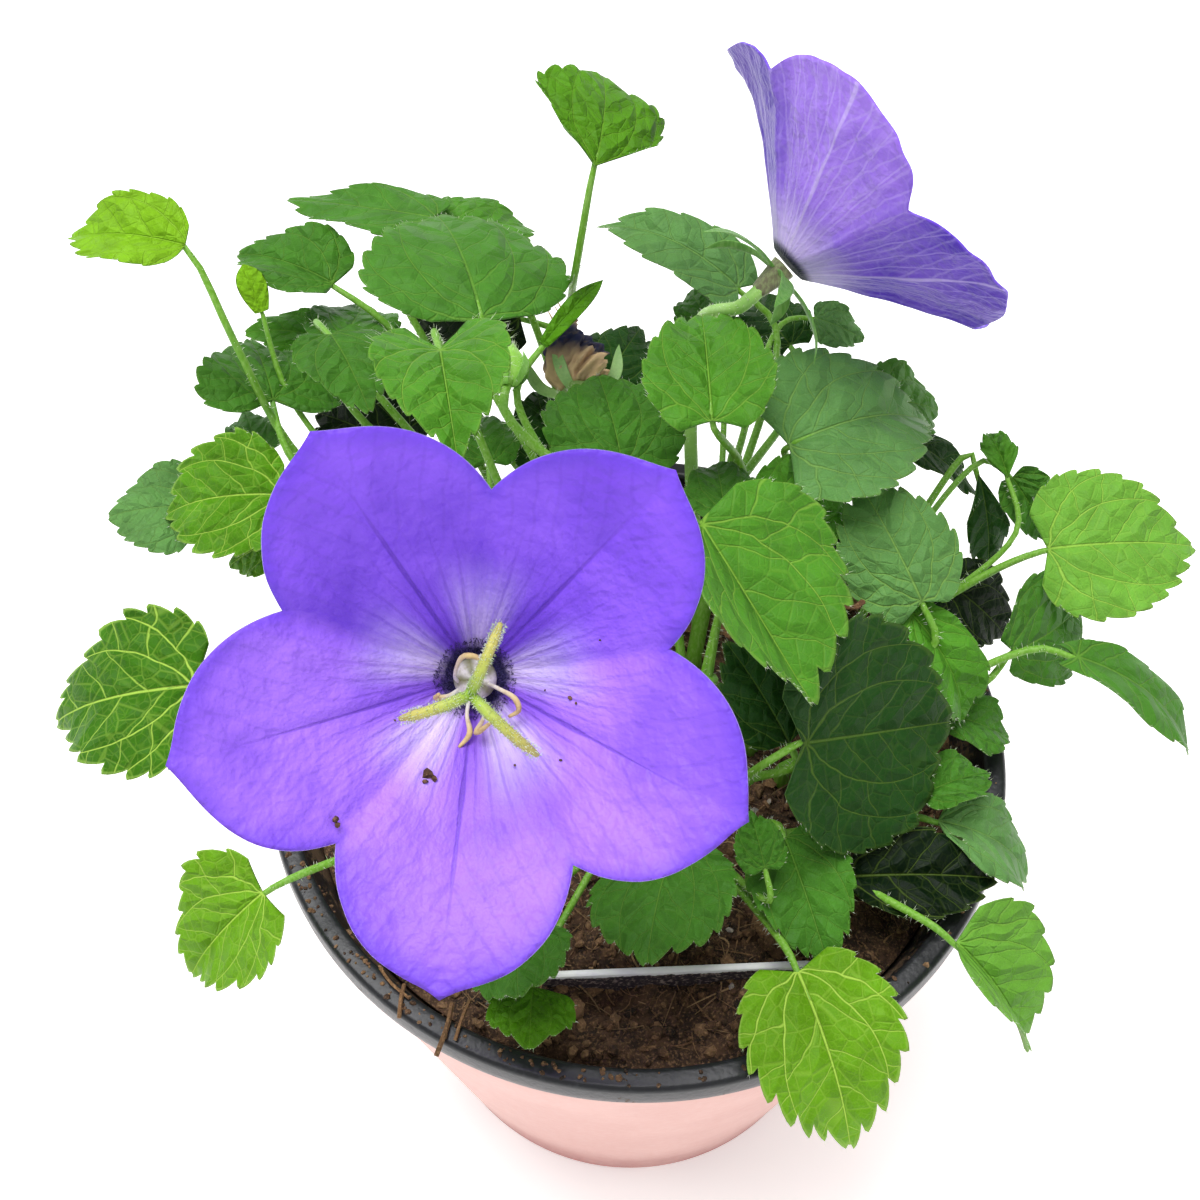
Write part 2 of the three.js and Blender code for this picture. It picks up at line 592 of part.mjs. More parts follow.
function lanceFaces(steps) {
  const under = 3 * steps;
  const [tipTop, tipBottom] = [2 * under, 2 * under + 1];
  const faces = [];
  const twin = (a, b, c) => faces.push([a, b, c], [a + under, c + under, b + under]);
  const wall = (a, b) => faces.push([a, b, b + under], [a, b + under, a + under]);
  for (let i = 0; i + 1 < steps; i += 1) {
    const [a, b, c] = [3 * i, 3 * i + 1, 3 * i + 2];
    twin(a, b, b + 3);
    twin(a, b + 3, a + 3);
    twin(b, c, c + 3);
    twin(b, c + 3, b + 3);
    wall(a, a + 3);
    wall(c + 3, c);
  }
  const last = under - 3;
  faces.push([0, under, under + 1], [0, under + 1, 1], [1, under + 1, under + 2], [1, under + 2, 2]);
  faces.push([last, last + 1, tipTop], [last + 1, last + 2, tipTop]);
  faces.push([last + under, tipBottom, last + 1 + under], [last + 1 + under, tipBottom, last + 2 + under]);
  faces.push([last, tipTop, tipBottom], [last, tipBottom, last + under]);
  faces.push([last + 2, tipBottom, tipTop], [last + 2, last + 2 + under, tipBottom]);
  return faces;
}

function bract(leaf, frame) {
  const along = (part, rise) => placeInBlade(frame, [part * leaf.long, 0, rise * leaf.long]);
  return lance([along(0, 0), along(0.5, bractRise), along(1, 0)], leaf.wide, frame.normal);
}

// A shoot rises straight out of its hole in the soil and then leans to its top
function shootPoints(stem) {
  const [x, y] = stem.root;
  const ground = soilHeight(x, y);
  const heights = [ground - stemDepth, ground + stemMouth, ground + shootStraight];
  return [...heights.map((z) => at([x, y, z])), at(stem.top)];
}

// A petiole leaves the shoot upwards and runs in under the base of its blade
function petiole(start, leaf, frame) {
  const [x, y, z] = bladePoint(leaf, frame, 0, innerRing, 0);
  const sink = (leaf.narrow ? leaf.long / 3 : petioleSink) / x;
  const arrive = placeInBlade(frame, [x * sink, y * sink, z * sink - petioleUnder]);
  const meet = placeInBlade(frame, [0, 0, -petioleUnder]);
  const span = start.distanceTo(frame.base);
  const before = frame.base.clone().addScaledVector(frame.along, -petioleSag.back * span);
  before.z -= petioleSag.down * span;
  const middle = leaf.via ? leaf.via.map(seenAt) : [before];
  const steps = leaf.via ? petioleViaSteps : petioleSteps;
  return tube([start, ...middle, meet, arrive], petioleRadius, petioleSides, steps);
}

function leafyStem(stem) {
  const points = shootPoints(stem);
  const curve = smooth(points);
  const solids = [tube(points, shootRadius, shootSides, shootSteps)];
  stem.leaves.forEach((leaf, i) => {
    const frame = bladeFrame(leaf);
    const start = curve.getPointAt(petiolesFrom + (petiolesSpan * (i + 1)) / stem.leaves.length);
    solids.push(petiole(start, leaf, frame), leaf.narrow ? bract(leaf, frame) : blade(leaf, frame));
  });
  if (stem.buds) solids.push(youngBud(at(stem.top)), witheredCalyx(at(stem.top)));
  return join(solids);
}

// A turned body stood on a place in the view and pointing to where its tip is seen
function stoodBody(profile, sides, spot) {
  const { base, along } = bladeFrame(spot);
  const turn = new THREE.Quaternion().setFromUnitVectors(at([0, 0, 1]), along);
  const geometry = lathe(profile, sides).applyQuaternion(turn);
  return geometry.translate(base.x, base.y, base.z);
}

// The young bud: a small pointed egg on a thin stalk from the shoot's top
function youngBud(shootTop) {
  const { base, along } = bladeFrame(bud);
  const profile = budProfile.map(([out, up]) => [(out * bud.wide) / 2, up * bud.long]);
  const egg = stoodBody(profile, holeSides, bud);
  const below = base.clone().addScaledVector(along, -stalkStraight);
  const inside = base.clone().addScaledVector(along, stalkSink);
  return solidOf(egg).add(tube([shootTop, below, inside], petioleRadius, petioleSides, petioleSteps));
}

// The green calyx under the withered bloom: a small cup with two sepals still standing
function witheredCalyx(shootTop) {
  const { base, along, across, normal } = bladeFrame(withered);
  const up = (z) => base.clone().addScaledVector(along, z - calyxHeight - clearance);
  const cup = lathe([[0, 0], [calyxFoot, 0], [calyxWide, calyxHeight], [0, calyxHeight]], holeSides);
  cup.applyQuaternion(new THREE.Quaternion().setFromUnitVectors(at([0, 0, 1]), along));
  cup.translate(...up(0).toArray());
  const stalk = [shootTop, up(-stalkStraight), up(stalkSink)];
  const solids = [solidOf(cup), tube(stalk, petioleRadius, petioleSides, petioleSteps)];
  for (const side of [1, -1]) {
    const line = calyxSepal.map(([out, z]) => up(z).addScaledVector(across, side * out));
    solids.push(lance(line, calyxSepalWidth, normal));
  }
  return join(solids);
}

// The withered bloom: a closed, three-ribbed bundle that twists to its frayed end
function witheredBloom() {
  const frame = bladeFrame(withered);
  const points = [placeInBlade(frame, [0, 0, 0])];
  for (const [part, wide] of witheredRings) {
    for (let i = 0; i < witheredSectors; i += 1) {
      const turn = (2 * Math.PI * i) / witheredSectors;
      const rib = 1 + witheredRibs.depth * Math.cos(witheredRibs.count * turn);
      const spin = turn + witheredTwist * part;
      const out = (withered.wide / 2) * wide * rib;
      points.push(placeInBlade(frame, [withered.long * part, out * Math.cos(spin), out * Math.sin(spin)]));
    }
  }
  points.push(placeInBlade(frame, [withered.long, 0, 0]));
  return meshFrom(points, sleeveFaces(witheredRings.length, witheredSectors));
}

// Faces of a closed sleeve of rings between a first and a last point
function sleeveFaces(rings, sectors) {
  const spot = (ring, i) => 1 + ring * sectors + (i % sectors);
  const last = rings * sectors + 1;
  const faces = [];
  for (let i = 0; i < sectors; i += 1) {
    faces.push([0, spot(0, i + 1), spot(0, i)], [last, spot(rings - 1, i), spot(rings - 1, i + 1)]);
    for (let ring = 0; ring + 1 < rings; ring += 1) {
      const [a, b] = [spot(ring, i), spot(ring, i + 1)];
      const [c, d] = [spot(ring + 1, i + 1), spot(ring + 1, i)];
      faces.push([a, b, c], [a, c, d]);
    }
  }
  return faces;
}

// A bloom's own frame: axis out of the bell's mouth, across and upright in its plane
function bloomFrame(bloom) {
  const [round, rise] = bloom.faces.map(THREE.MathUtils.degToRad);
  const level = Math.cos(rise);
  const axis = at([level * Math.cos(round), level * Math.sin(round), Math.sin(rise)]);
  const across = new THREE.Vector3().crossVectors(at(bloom.up), axis).normalize();
  const upright = new THREE.Vector3().crossVectors(axis, across);
  const matrix = new THREE.Matrix4().makeBasis(across, upright, axis).setPosition(...bloom.centre);
  const place = (x, y, z) => at([x, y, z]).applyMatrix4(matrix);
  return { axis, matrix, place };
}

// The petal and the notch that a turn falls to, and its part of the way from the petal's middle
function petalSpot(bloom, turn) {
  const step = (2 * Math.PI) / petalCount;
  const off = (turn - THREE.MathUtils.degToRad(bloom.firstTip)) / step;
  const wrap = (i) => ((i % petalCount) + petalCount) % petalCount;
  const part = 2 * Math.abs(off - Math.round(off));
  return { part, petal: wrap(Math.round(off)), notch: wrap(Math.floor(off)) };
}

// How far the corolla's edge reaches at a turn, 1 at the middle of each petal
function edgeReach(bloom, turn) {
  const { part, notch } = petalSpot(bloom, turn);
  const low = bloom.notches[notch];
  const round = (1 - lobePoint) * (1 - part ** lobeCurve);
  return low + (1 - low) * (round + lobePoint * Math.exp(-part / lobePointSpread));
}

// Depth of the bell below its mouth, flat in the throat and opening out in one curve, with each
// petal's own lift towards its tip
function bellDepth(bloom, turn, reach) {
  const { part, petal } = petalSpot(bloom, turn);
  const outward = Math.max(0, 1 - Math.max(reach, throatReach)) / (1 - throatReach);
  return bloom.lifts[petal] * (1 - part ** 2) * reach ** 3 - bloom.depth * outward ** bloom.curve;
}

// A point of the bell's inner face, or of its outer face for back = petalThickness
function bellPoint(bloom, turn, reach, back) {
  const near = bellDepth(bloom, turn, reach - slopeStep);
  const slope = (bellDepth(bloom, turn, reach + slopeStep) - near) / (2 * slopeStep * bloom.radius);
  const steep = Math.hypot(slope, 1);
  const out = bloom.radius * reach + (back * slope) / steep;
  return [out * Math.cos(turn), out * Math.sin(turn), bellDepth(bloom, turn, reach) - back / steep];
}

// The joined petals: rings out to the lobed edge on the inner face and back on the outer one
function corolla(bloom) {
  const { place } = bloomFrame(bloom);
  const start = THREE.MathUtils.degToRad(bloom.firstTip);
  const ringPoints = (ring, back) => Array.from({ length: bloomSectors }, (_, i) => {
    const turn = start + (2 * Math.PI * i) / bloomSectors;
    const part = (ring - throatReach) / (1 - throatReach);
    const reach = throatReach + part * (edgeReach(bloom, turn) - throatReach);
    return place(...bellPoint(bloom, turn, reach, back));
  });
  const points = [
    place(0, 0, -bloom.depth),
    ...bloomRings.flatMap((ring) => ringPoints(ring, 0)),
    ...bloomRings.toReversed().flatMap((ring) => ringPoints(ring, petalThickness)),
    place(0, 0, -bloom.depth - petalThickness),
  ];
  const faces = sleeveFaces(2 * bloomRings.length, bloomSectors);
  return meshFrom(points, faces.map(([a, b, c]) => [a, c, b]));
}

// Style, stigma arms and withered stamens on their dome, just off the floor of the bell
function pistil(bloom) {
  const { matrix, place } = bloomFrame(bloom);
  const floor = -bloom.depth + clearance;
  const shoulder = [domeShoulder.out * domeRadius, domeShoulder.up * domeHeight];
  const dome = lathe([[0, 0], [domeRadius, 0], shoulder, [0, domeHeight]], domeSides);
  const fork = floor + styleLength;
  const solids = [
    solidOf(dome.translate(0, 0, floor).applyMatrix4(matrix)),
    tube([place(0, 0, floor + 1), place(0, 0, fork)], styleRadius, pistilSides, 1),
  ];
  for (const [degrees, long] of stigmaArms) {
    const turn = THREE.MathUtils.degToRad(degrees);
    const path = armPath.map(([part, up]) => place(
      part * long * Math.cos(turn), part * long * Math.sin(turn), fork + up));
    solids.push(tube(path, stigmaRadius, pistilSides, pistilSteps));
  }
  for (let i = 0; i < petalCount; i += 1) {
    const turn = THREE.MathUtils.degToRad(bloom.firstTip) + (2 * Math.PI * (i + 0.5)) / petalCount;
    const path = stamenPath.map(([out, swing, up]) => place(
      out * Math.cos(turn + swing), out * Math.sin(turn + swing), floor + up));
    solids.push(tube(path, stamenRadius, stamenSides, pistilSteps));
  }
  return join(solids);
}

// Flower stem, ovary and five spreading sepals in one piece
function bloomStem(bloom) {
  const { axis, matrix, place } = bloomFrame(bloom);
  const top = -bloom.depth - petalThickness - clearance;
  const low = top - ovaryLength;
  const ovary = lathe([[0, low], [bloomStemRadius, low], [ovaryRadius, top], [0, top]], holeSides);
  const [x, y] = bloom.root;
  const ground = soilHeight(x, y);
  const path = [
    at([x, y, ground - stemDepth]),
    at([x, y, ground + stemMouth]),
    at(bloom.knee),
    place(0, 0, low - bloomStemLead),
    place(0, 0, low + bloomStemSink),
  ];
  const solids = [
    solidOf(ovary.applyMatrix4(matrix)),
    tube(path, bloomStemRadius, shootSides, bloomStemSteps),
  ];
  for (let i = 0; i < petalCount; i += 1) {
    const turn = THREE.MathUtils.degToRad(bloom.firstTip) + (2 * Math.PI * (i + 0.5)) / petalCount;
    const line = sepalPath.map(([out, back]) => {
      const far = ovaryRadius + out * sepalLength;
      return place(far * Math.cos(turn), far * Math.sin(turn), top - back);
    });
    solids.push(lance(line, sepalWidth, axis));
  }
  return join(solids);
}

// A plain hole in the soil for a stem, clear of it all round
function stemHole([x, y]) {
  const radius = (shootRadius + clearance) / Math.cos(Math.PI / stemHoleSides);
  return uprightHole(x, y, soilHeight(x, y), radius, 2 * (stemDepth + clearance), stemHoleSides);
}

const stemHoles = [...leafyStems, ...blooms].map((plant) => stemHole(plant.root));
const labelSlot = solidOf(labelPlate(clearance));

addPart('cover_pot', coverPot(), finish(0xecc3b8, 0.45));
addPart('grow_pot', growPot(), finish(0x2a2a2d, 0.42));
addPart('plant_label', labelPlate(0), finish(0xf2f2f2, 0.5));
addPart('soil', soil([...stemHoles, labelSlot]), finish(0x3a2a1e, 0.95));
leafyStems.forEach((stem) => addPart(stem.name, geometryOf(leafyStem(stem)), finish(0x4f8f34, 0.65)));
blooms.forEach((bloom) => {
  addPart(`${bloom.name}_stem`, geometryOf(bloomStem(bloom)), finish(0x86a85e, 0.6));
  addPart(`${bloom.name}_corolla`, corolla(bloom), finish(0x7d55eb, 0.5));
  addPart(`${bloom.name}_pistil`, geometryOf(pistil(bloom)), finish(0xd9dc9a, 0.6));
});
addPart('withered_bloom', witheredBloom(), finish(0xa08560, 0.85));

export default model;
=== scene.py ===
# A potted Carpathian bellflower: pots, mix, label, seventeen leafy stems, two open flowers, a withered one.
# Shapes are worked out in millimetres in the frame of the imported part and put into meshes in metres.
import math
import bpy
import numpy as np
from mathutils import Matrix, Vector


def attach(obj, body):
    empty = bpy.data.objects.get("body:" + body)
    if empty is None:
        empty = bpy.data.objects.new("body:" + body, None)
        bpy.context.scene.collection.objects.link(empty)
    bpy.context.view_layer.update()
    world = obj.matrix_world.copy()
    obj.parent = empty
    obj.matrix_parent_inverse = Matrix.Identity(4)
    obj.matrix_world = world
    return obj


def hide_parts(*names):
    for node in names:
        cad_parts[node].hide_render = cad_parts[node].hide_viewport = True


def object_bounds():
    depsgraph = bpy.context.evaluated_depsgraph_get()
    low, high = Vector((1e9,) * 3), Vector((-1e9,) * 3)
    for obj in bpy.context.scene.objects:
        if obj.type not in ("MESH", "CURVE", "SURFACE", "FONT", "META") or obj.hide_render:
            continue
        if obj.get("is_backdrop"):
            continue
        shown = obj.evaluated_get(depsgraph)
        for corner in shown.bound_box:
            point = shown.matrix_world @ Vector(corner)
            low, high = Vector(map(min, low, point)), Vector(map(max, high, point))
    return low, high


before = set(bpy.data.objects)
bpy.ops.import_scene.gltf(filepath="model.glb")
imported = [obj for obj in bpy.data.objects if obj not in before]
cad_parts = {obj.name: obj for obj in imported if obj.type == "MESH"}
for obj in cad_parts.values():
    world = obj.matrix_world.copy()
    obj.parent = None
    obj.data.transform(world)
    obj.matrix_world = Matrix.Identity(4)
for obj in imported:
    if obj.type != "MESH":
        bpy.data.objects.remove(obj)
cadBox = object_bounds()
metre = 0.001
fullTurn = 2 * math.pi


# Camera, floor and light

view = {
    "eye": np.array([-5.2, -123.2, 280.6]),  # where the plant is looked at from
    "lookDown": 52.9,  # degrees below level
    "focalPixels": 1600,
    "framePixels": 1200,
    "sensor": 36.0,
}
lookDown = math.radians(view["lookDown"])
lookRight = np.array([1.0, 0.0, 0.0])
lookAhead = np.array([0.0, math.cos(lookDown), -math.sin(lookDown)])
lookUp = np.array([0.0, math.sin(lookDown), math.cos(lookDown)])

studio = {
    "sky": 0.6,
    "sun": {"strength": 3.1, "width": 42, "lean": (-8, -10)},  # soft: degrees across, lean about x and y
    "floor": (0.98, 0.98, 0.98),
    "floorHalf": 4,
    "floorRough": 0.9,
    "glow": 0.35,  # a white floor that hardly shows a shadow
}


def buildCamera():
    lens = bpy.data.cameras.new("camera")
    lens.sensor_width = view["sensor"]
    lens.lens = view["focalPixels"] / view["framePixels"] * view["sensor"]
    lens.clip_start = 0.01
    camera = bpy.data.objects.new("camera", lens)
    camera.location = view["eye"] * metre
    camera.rotation_euler = (math.pi / 2 - lookDown, 0, 0)
    bpy.context.collection.objects.link(camera)
    bpy.context.scene.camera = camera


def buildStudio():
    world = bpy.data.worlds.new("studio")
    world.use_nodes = True
    bpy.context.scene.world = world
    back = world.node_tree.nodes["Background"]
    back.inputs["Color"].default_value = (1, 1, 1, 1)
    back.inputs["Strength"].default_value = studio["sky"]
    bpy.context.scene.view_settings.view_transform = "Standard"
    light = bpy.data.lights.new("sun", "SUN")
    light.energy = studio["sun"]["strength"]
    light.angle = math.radians(studio["sun"]["width"])
    sun = bpy.data.objects.new("sun", light)
    sun.location = (0, 0, 1)
    sun.rotation_euler = [math.radians(a) for a in (*studio["sun"]["lean"], 0)]
    bpy.context.collection.objects.link(sun)
    mesh = bpy.data.meshes.new("floor")
    half = studio["floorHalf"]
    corners = [(-half, -half, 0), (half, -half, 0), (half, half, 0), (-half, half, 0)]
    mesh.from_pydata(corners, [], [(0, 1, 2, 3)])
    floor = bpy.data.objects.new("floor", mesh)
    bpy.context.collection.objects.link(floor)
    paint = bpy.data.materials.new("floor")
    paint.use_nodes = True
    shader = paint.node_tree.nodes["Principled BSDF"]
    shader.inputs["Base Color"].default_value = (*studio["floor"], 1)
    shader.inputs["Roughness"].default_value = studio["floorRough"]
    shader.inputs["Emission Color"].default_value = (1, 1, 1, 1)
    shader.inputs["Emission Strength"].default_value = studio["glow"]
    mesh.materials.append(paint)
    floor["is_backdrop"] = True


# Curves, rings and meshes

def unit(v):
    return v / np.maximum(np.linalg.norm(v, axis=-1, keepdims=True), 1e-12)


def sightLine(x, y):
    # Direction of the line of sight through a place in the view
    half = view["framePixels"] / 2
    focal = view["focalPixels"]
    return lookAhead + (x - half) / focal * lookRight + (half - y) / focal * lookUp


def seenAt(spot):
    # The point at a given height on the line of sight through x, y
    x, y, height = spot
    ray = sightLine(x, y)
    return view["eye"] + ray * (height - view["eye"][2]) / ray[2]


def seenAtReach(start, reach, x, y, near):
    # Where the line of sight meets the ball of radius reach round start, on its near or far side
    ray = unit(sightLine(x, y))
    offset = start - view["eye"]
    closest = offset @ ray
    gap = math.sqrt(max(0.0, reach ** 2 - offset @ offset + closest ** 2))
    return view["eye"] + ray * (closest + (-gap if near else gap))


def curveThrough(points, count, cuts=60):
    # A centripetal Catmull-Rom curve through the points, its ends mirrored, cut into equal lengths
    p = np.asarray(points, float)
    spans = len(p) - 1
    p = np.vstack([2 * p[0] - p[1], p, 2 * p[-1] - p[-2]])
    gaps = np.maximum(np.linalg.norm(np.diff(p, axis=0), axis=1) ** 0.5, 1e-4)
    t = np.linspace(0, spans, cuts * spans + 1)
    i = np.minimum(t.astype(int), spans - 1)
    w = (t - i)[:, None]
    a, b, c, d = p[i], p[i + 1], p[i + 2], p[i + 3]
    g0, g1, g2 = gaps[i][:, None], gaps[i + 1][:, None], gaps[i + 2][:, None]
    leave = ((b - a) / g0 - (c - a) / (g0 + g1) + (c - b) / g1) * g1
    arrive = ((c - b) / g1 - (d - b) / (g1 + g2) + (d - c) / g2) * g1
    path = ((2 * w ** 3 - 3 * w ** 2 + 1) * b + (w ** 3 - 2 * w ** 2 + w) * leave
            + (3 * w ** 2 - 2 * w ** 3) * c + (w ** 3 - w ** 2) * arrive)
    run = np.concatenate([[0], np.cumsum(np.linalg.norm(np.diff(path, axis=0), axis=1))])
    even = np.linspace(0, run[-1], count)
    return np.stack([np.interp(even, run, path[:, k]) for k in range(3)], axis=1)


def turns(count):
    return np.arange(count) * fullTurn / count


def ringsAt(out, turn, up):
    # Points at a distance from the z axis, a turn round it and a height; each may be a grid
    return np.stack(np.broadcast_arrays(out * np.cos(turn), out * np.sin(turn), up), axis=-1)


def blended(first, second, way):
    return first * (1 - way) + second * way


def part(points, faces, **marks):
    # A piece of mesh: points, faces of four corners (-1 for none), and values kept for each point
    return {"points": np.asarray(points, float), "faces": np.asarray(faces, int), **marks}


def gridFaces(rows, columns, closed, start=0):
    # Four-cornered faces between neighbouring rows; closed joins the last column to the first
    r = np.arange(rows - 1)[:, None]
    c = np.arange(columns if closed else columns - 1)[None, :]
    n = (c + 1) % columns
    corners = [r * columns + c, r * columns + n, (r + 1) * columns + n, (r + 1) * columns + c]
    return np.stack(corners, axis=-1).reshape(-1, 4) + start


def repeated(faces, count, points):
    # The same faces for each of count copies that have so many points each; -1 stays none
    start = points * np.arange(count)[:, None, None]
    return np.where(faces < 0, -1, faces + start).reshape(-1, faces.shape[1])


def closedSleeve(rings, **marks):
    # Rings joined into a tube with a point in the middle of each end, faces turned outwards
    count, sides, _ = rings.shape
    ends = np.stack([rings[0].mean(0), rings[-1].mean(0)])
    points = np.vstack([rings.reshape(-1, 3), ends])
    i = np.arange(sides)
    n = (i + 1) % sides
    first, last, none = count * sides, count * sides + 1, np.full(sides, -1)
    low = np.stack([np.full(sides, first), n, i, none], axis=1)
    high = np.stack([np.full(sides, last), (count - 1) * sides + i, (count - 1) * sides + n, none], axis=1)
    faces = np.vstack([gridFaces(count, sides, True), low, high])
    held = {}
    for key, value in marks.items():
        value = np.asarray(value, float)
        whole = np.broadcast_to(value.reshape(count, -1, value.shape[-1]), (count, sides, value.shape[-1]))
        held[key] = np.vstack([whole.reshape(-1, value.shape[-1]), whole[0].mean(0), whole[-1].mean(0)])
    return outward(part(points, faces, **held))


def outward(piece):
    # Turns a closed piece's faces over when the volume inside them comes out negative
    p, f = piece["points"] - piece["points"].mean(0), piece["faces"]
    third = np.where(f[:, 3] < 0, f[:, 2], f[:, 3])
    volume = (np.einsum("ij,ij->i", p[f[:, 0]], np.cross(p[f[:, 1]], p[f[:, 2]]))
              + np.einsum("ij,ij->i", p[f[:, 0]], np.cross(p[f[:, 2]], p[third]))).sum()
    if volume < 0:
        turned = f[:, [2, 1, 0, 3]]
        turned[f[:, 3] >= 0] = f[f[:, 3] >= 0][:, ::-1]
        piece["faces"] = turned
    return piece


def ringsAlong(path, radius, sides):
    # Circles square to a path; they keep to the plane that the path bends least out of
    along = unit(np.gradient(path, axis=0))
    flat = np.linalg.svd(along, full_matrices=False)[2][-1]
    side = unit(np.cross(along, flat))
    over = np.cross(side, along)
    turn = turns(sides)
    out = np.cos(turn)[None, :, None] * side[:, None] + np.sin(turn)[None, :, None] * over[:, None]
    return path[:, None] + np.broadcast_to(radius, len(path))[:, None, None] * out


def rod(points, radius, sides=8, steps=16):
    # A tube along a smooth curve; radius is one number or [part, radius] pairs along it
    path = curveThrough(points, steps + 1)
    if np.ndim(radius):
        at, wide = np.transpose(radius)
        radius = np.interp(np.linspace(0, 1, steps + 1), at, wide)
    along = np.linspace(0, 1, steps + 1)[:, None, None] * np.ones((1, sides, 2))
    return closedSleeve(ringsAlong(path, radius, sides), uv=along)


def hairs(roots, ways, long, thick):
    # Each hair is a spike: three corners round its root, square to its way, and one tip
    ways = unit(ways)
    helper = np.where(np.abs(ways[:, 2:3]) > 0.8, [[1.0, 0, 0]], [[0, 0, 1.0]])
    side = unit(np.cross(ways, helper))
    over = np.cross(ways, side)
    long, thick = (np.broadcast_to(size, len(roots))[:, None] for size in (long, thick))
    corners = [roots + thick * (math.cos(t) * side + math.sin(t) * over) for t in turns(3)]
    points = np.stack([*corners, roots + long * ways], axis=1).reshape(-1, 3)
    one = np.array([[0, 2, 1, -1], [0, 1, 3, -1], [1, 2, 3, -1], [2, 0, 3, -1]])
    return part(points, repeated(one, len(roots), 4))


def merged(parts):
    # Several pieces of mesh as one; a value that a piece lacks is filled with zeros
    keys = {key for piece in parts for key in piece if key not in ("points", "faces")}
    size = {key: next(piece[key].shape[-1] for piece in parts if key in piece) for key in keys}
    whole = {key: [] for key in ("points", "faces", *keys)}
    start = 0
    for piece in parts:
        count = len(piece["points"])
        whole["points"].append(piece["points"])
        whole["faces"].append(np.where(piece["faces"] < 0, -1, piece["faces"] + start))
        for key in keys:
            whole[key].append(piece.get(key, np.zeros((count, size[key]))))
        start += count
    return {key: np.vstack(value) for key, value in whole.items()}


def toMesh(name, parts, material, smooth=True):
    # Puts points, faces and the kept values into a mesh object that rides on the pot's body
    whole = merged(parts if isinstance(parts, list) else [parts])
    faces = whole["faces"]
    corners = faces[faces >= 0]
    counts = np.where(faces[:, 3] < 0, 3, 4)
    mesh = bpy.data.meshes.new(name)
    mesh.vertices.add(len(whole["points"]))
    mesh.vertices.foreach_set("co", (whole["points"] * metre).astype(np.float32).ravel())
    mesh.loops.add(len(corners))
    mesh.polygons.add(len(faces))
    mesh.polygons.foreach_set("loop_start", (np.cumsum(counts) - counts).astype(np.int32))
    mesh.polygons.foreach_set("vertices", corners.astype(np.int32))
    mesh.polygons.foreach_set("use_smooth", np.full(len(faces), smooth))
    mesh.update(calc_edges=True)
    if "uv" in whole:
        layer = mesh.uv_layers.new(name="place")
        layer.data.foreach_set("uv", whole["uv"][corners].astype(np.float32).ravel())
    if "tone" in whole:
        colour = mesh.attributes.new("tone", "FLOAT_COLOR", "POINT")
        shades = np.hstack([whole["tone"], np.ones((len(whole["tone"]), 1))])
        colour.data.foreach_set("color", shades.astype(np.float32).ravel())
    for key in ("edge", "under", "ribs", "seed", "glow", "rim"):
        if key in whole:
            mark = mesh.attributes.new(key, "FLOAT", "POINT")
            mark.data.foreach_set("value", whole[key][:, 0].astype(np.float32))
    mesh.validate()
    mesh.materials.append(material)
    piece = bpy.data.objects.new(name, mesh)
    bpy.context.collection.objects.link(piece)
    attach(piece, "root")
    return piece


def noiseAt(x, y, seed, size):
    # Smooth random heights: values on a square lattice, eased from one lattice point to the next
    grid = np.random.default_rng(seed).random((64, 64))
    u, v = x / size, y / size
    i, j = np.floor(u).astype(int), np.floor(v).astype(int)
    a, b = u - i, v - j
    a, b = a * a * (3 - 2 * a), b * b * (3 - 2 * b)
    corner = lambda di, dj: grid[(i + di) % 64, (j + dj) % 64]
    return ((corner(0, 0) * (1 - a) + corner(1, 0) * a) * (1 - b)
            + (corner(0, 1) * (1 - a) + corner(1, 1) * a) * b) - 0.5


# Node helpers

def srgb(red, green, blue):
    # A colour of 0 to 255 as light values
    c = np.array([red, green, blue]) / 255
    return np.where(c < 0.04045, c / 12.92, ((c + 0.055) / 1.055) ** 2.4)


def feed(tree, socket, value):
    if isinstance(value, bpy.types.NodeSocket):
        tree.links.new(value, socket)
    elif value is not None:
        opaque = socket.type == "RGBA" and np.ndim(value) and len(value) == 3
        socket.default_value = (*value, 1) if opaque else value


def calc(tree, operation, *values):
    made = tree.nodes.new("ShaderNodeMath")
    made.operation = operation
    for socket, value in zip(made.inputs, values):
        feed(tree, socket, value)
    return made.outputs[0]


def maths(tree):
    return lambda operation, *values: calc(tree, operation, *values)


def ease(tree, value, low, high, start=0.0, end=1.0):
    # A value carried smoothly from low..high to start..end
    made = tree.nodes.new("ShaderNodeMapRange")
    made.interpolation_type = "SMOOTHSTEP"
    for socket, number in zip(made.inputs, (value, low, high, start, end)):
        feed(tree, socket, number)
    return made.outputs[0]


def tint(tree, amount, first, second, mode="MIX"):
    made = tree.nodes.new("ShaderNodeMix")
    made.data_type = "RGBA"
    made.blend_type = mode
    feed(tree, made.inputs[0], amount)
    feed(tree, made.inputs[6], first)
    feed(tree, made.inputs[7], second)
    return made.outputs[2]


def grain(tree, place, scale, detail=3.0, rough=0.55):
    made = tree.nodes.new("ShaderNodeTexNoise")
    feed(tree, made.inputs["Vector"], place)
    made.inputs["Scale"].default_value = scale
    made.inputs["Detail"].default_value = detail
    made.inputs["Roughness"].default_value = rough
    return made.outputs[0]


def cells(tree, place, scale):
    made = tree.nodes.new("ShaderNodeTexVoronoi")
    made.feature = "DISTANCE_TO_EDGE"
    feed(tree, made.inputs["Vector"], place)
    made.inputs["Scale"].default_value = scale
    return made.outputs[0]


def objectPlace(tree):
    return tree.nodes.new("ShaderNodeTexCoord").outputs["Object"]


def surfacePlace(tree):
    made = tree.nodes.new("ShaderNodeUVMap")
    made.uv_map = "place"
    return made.outputs[0]


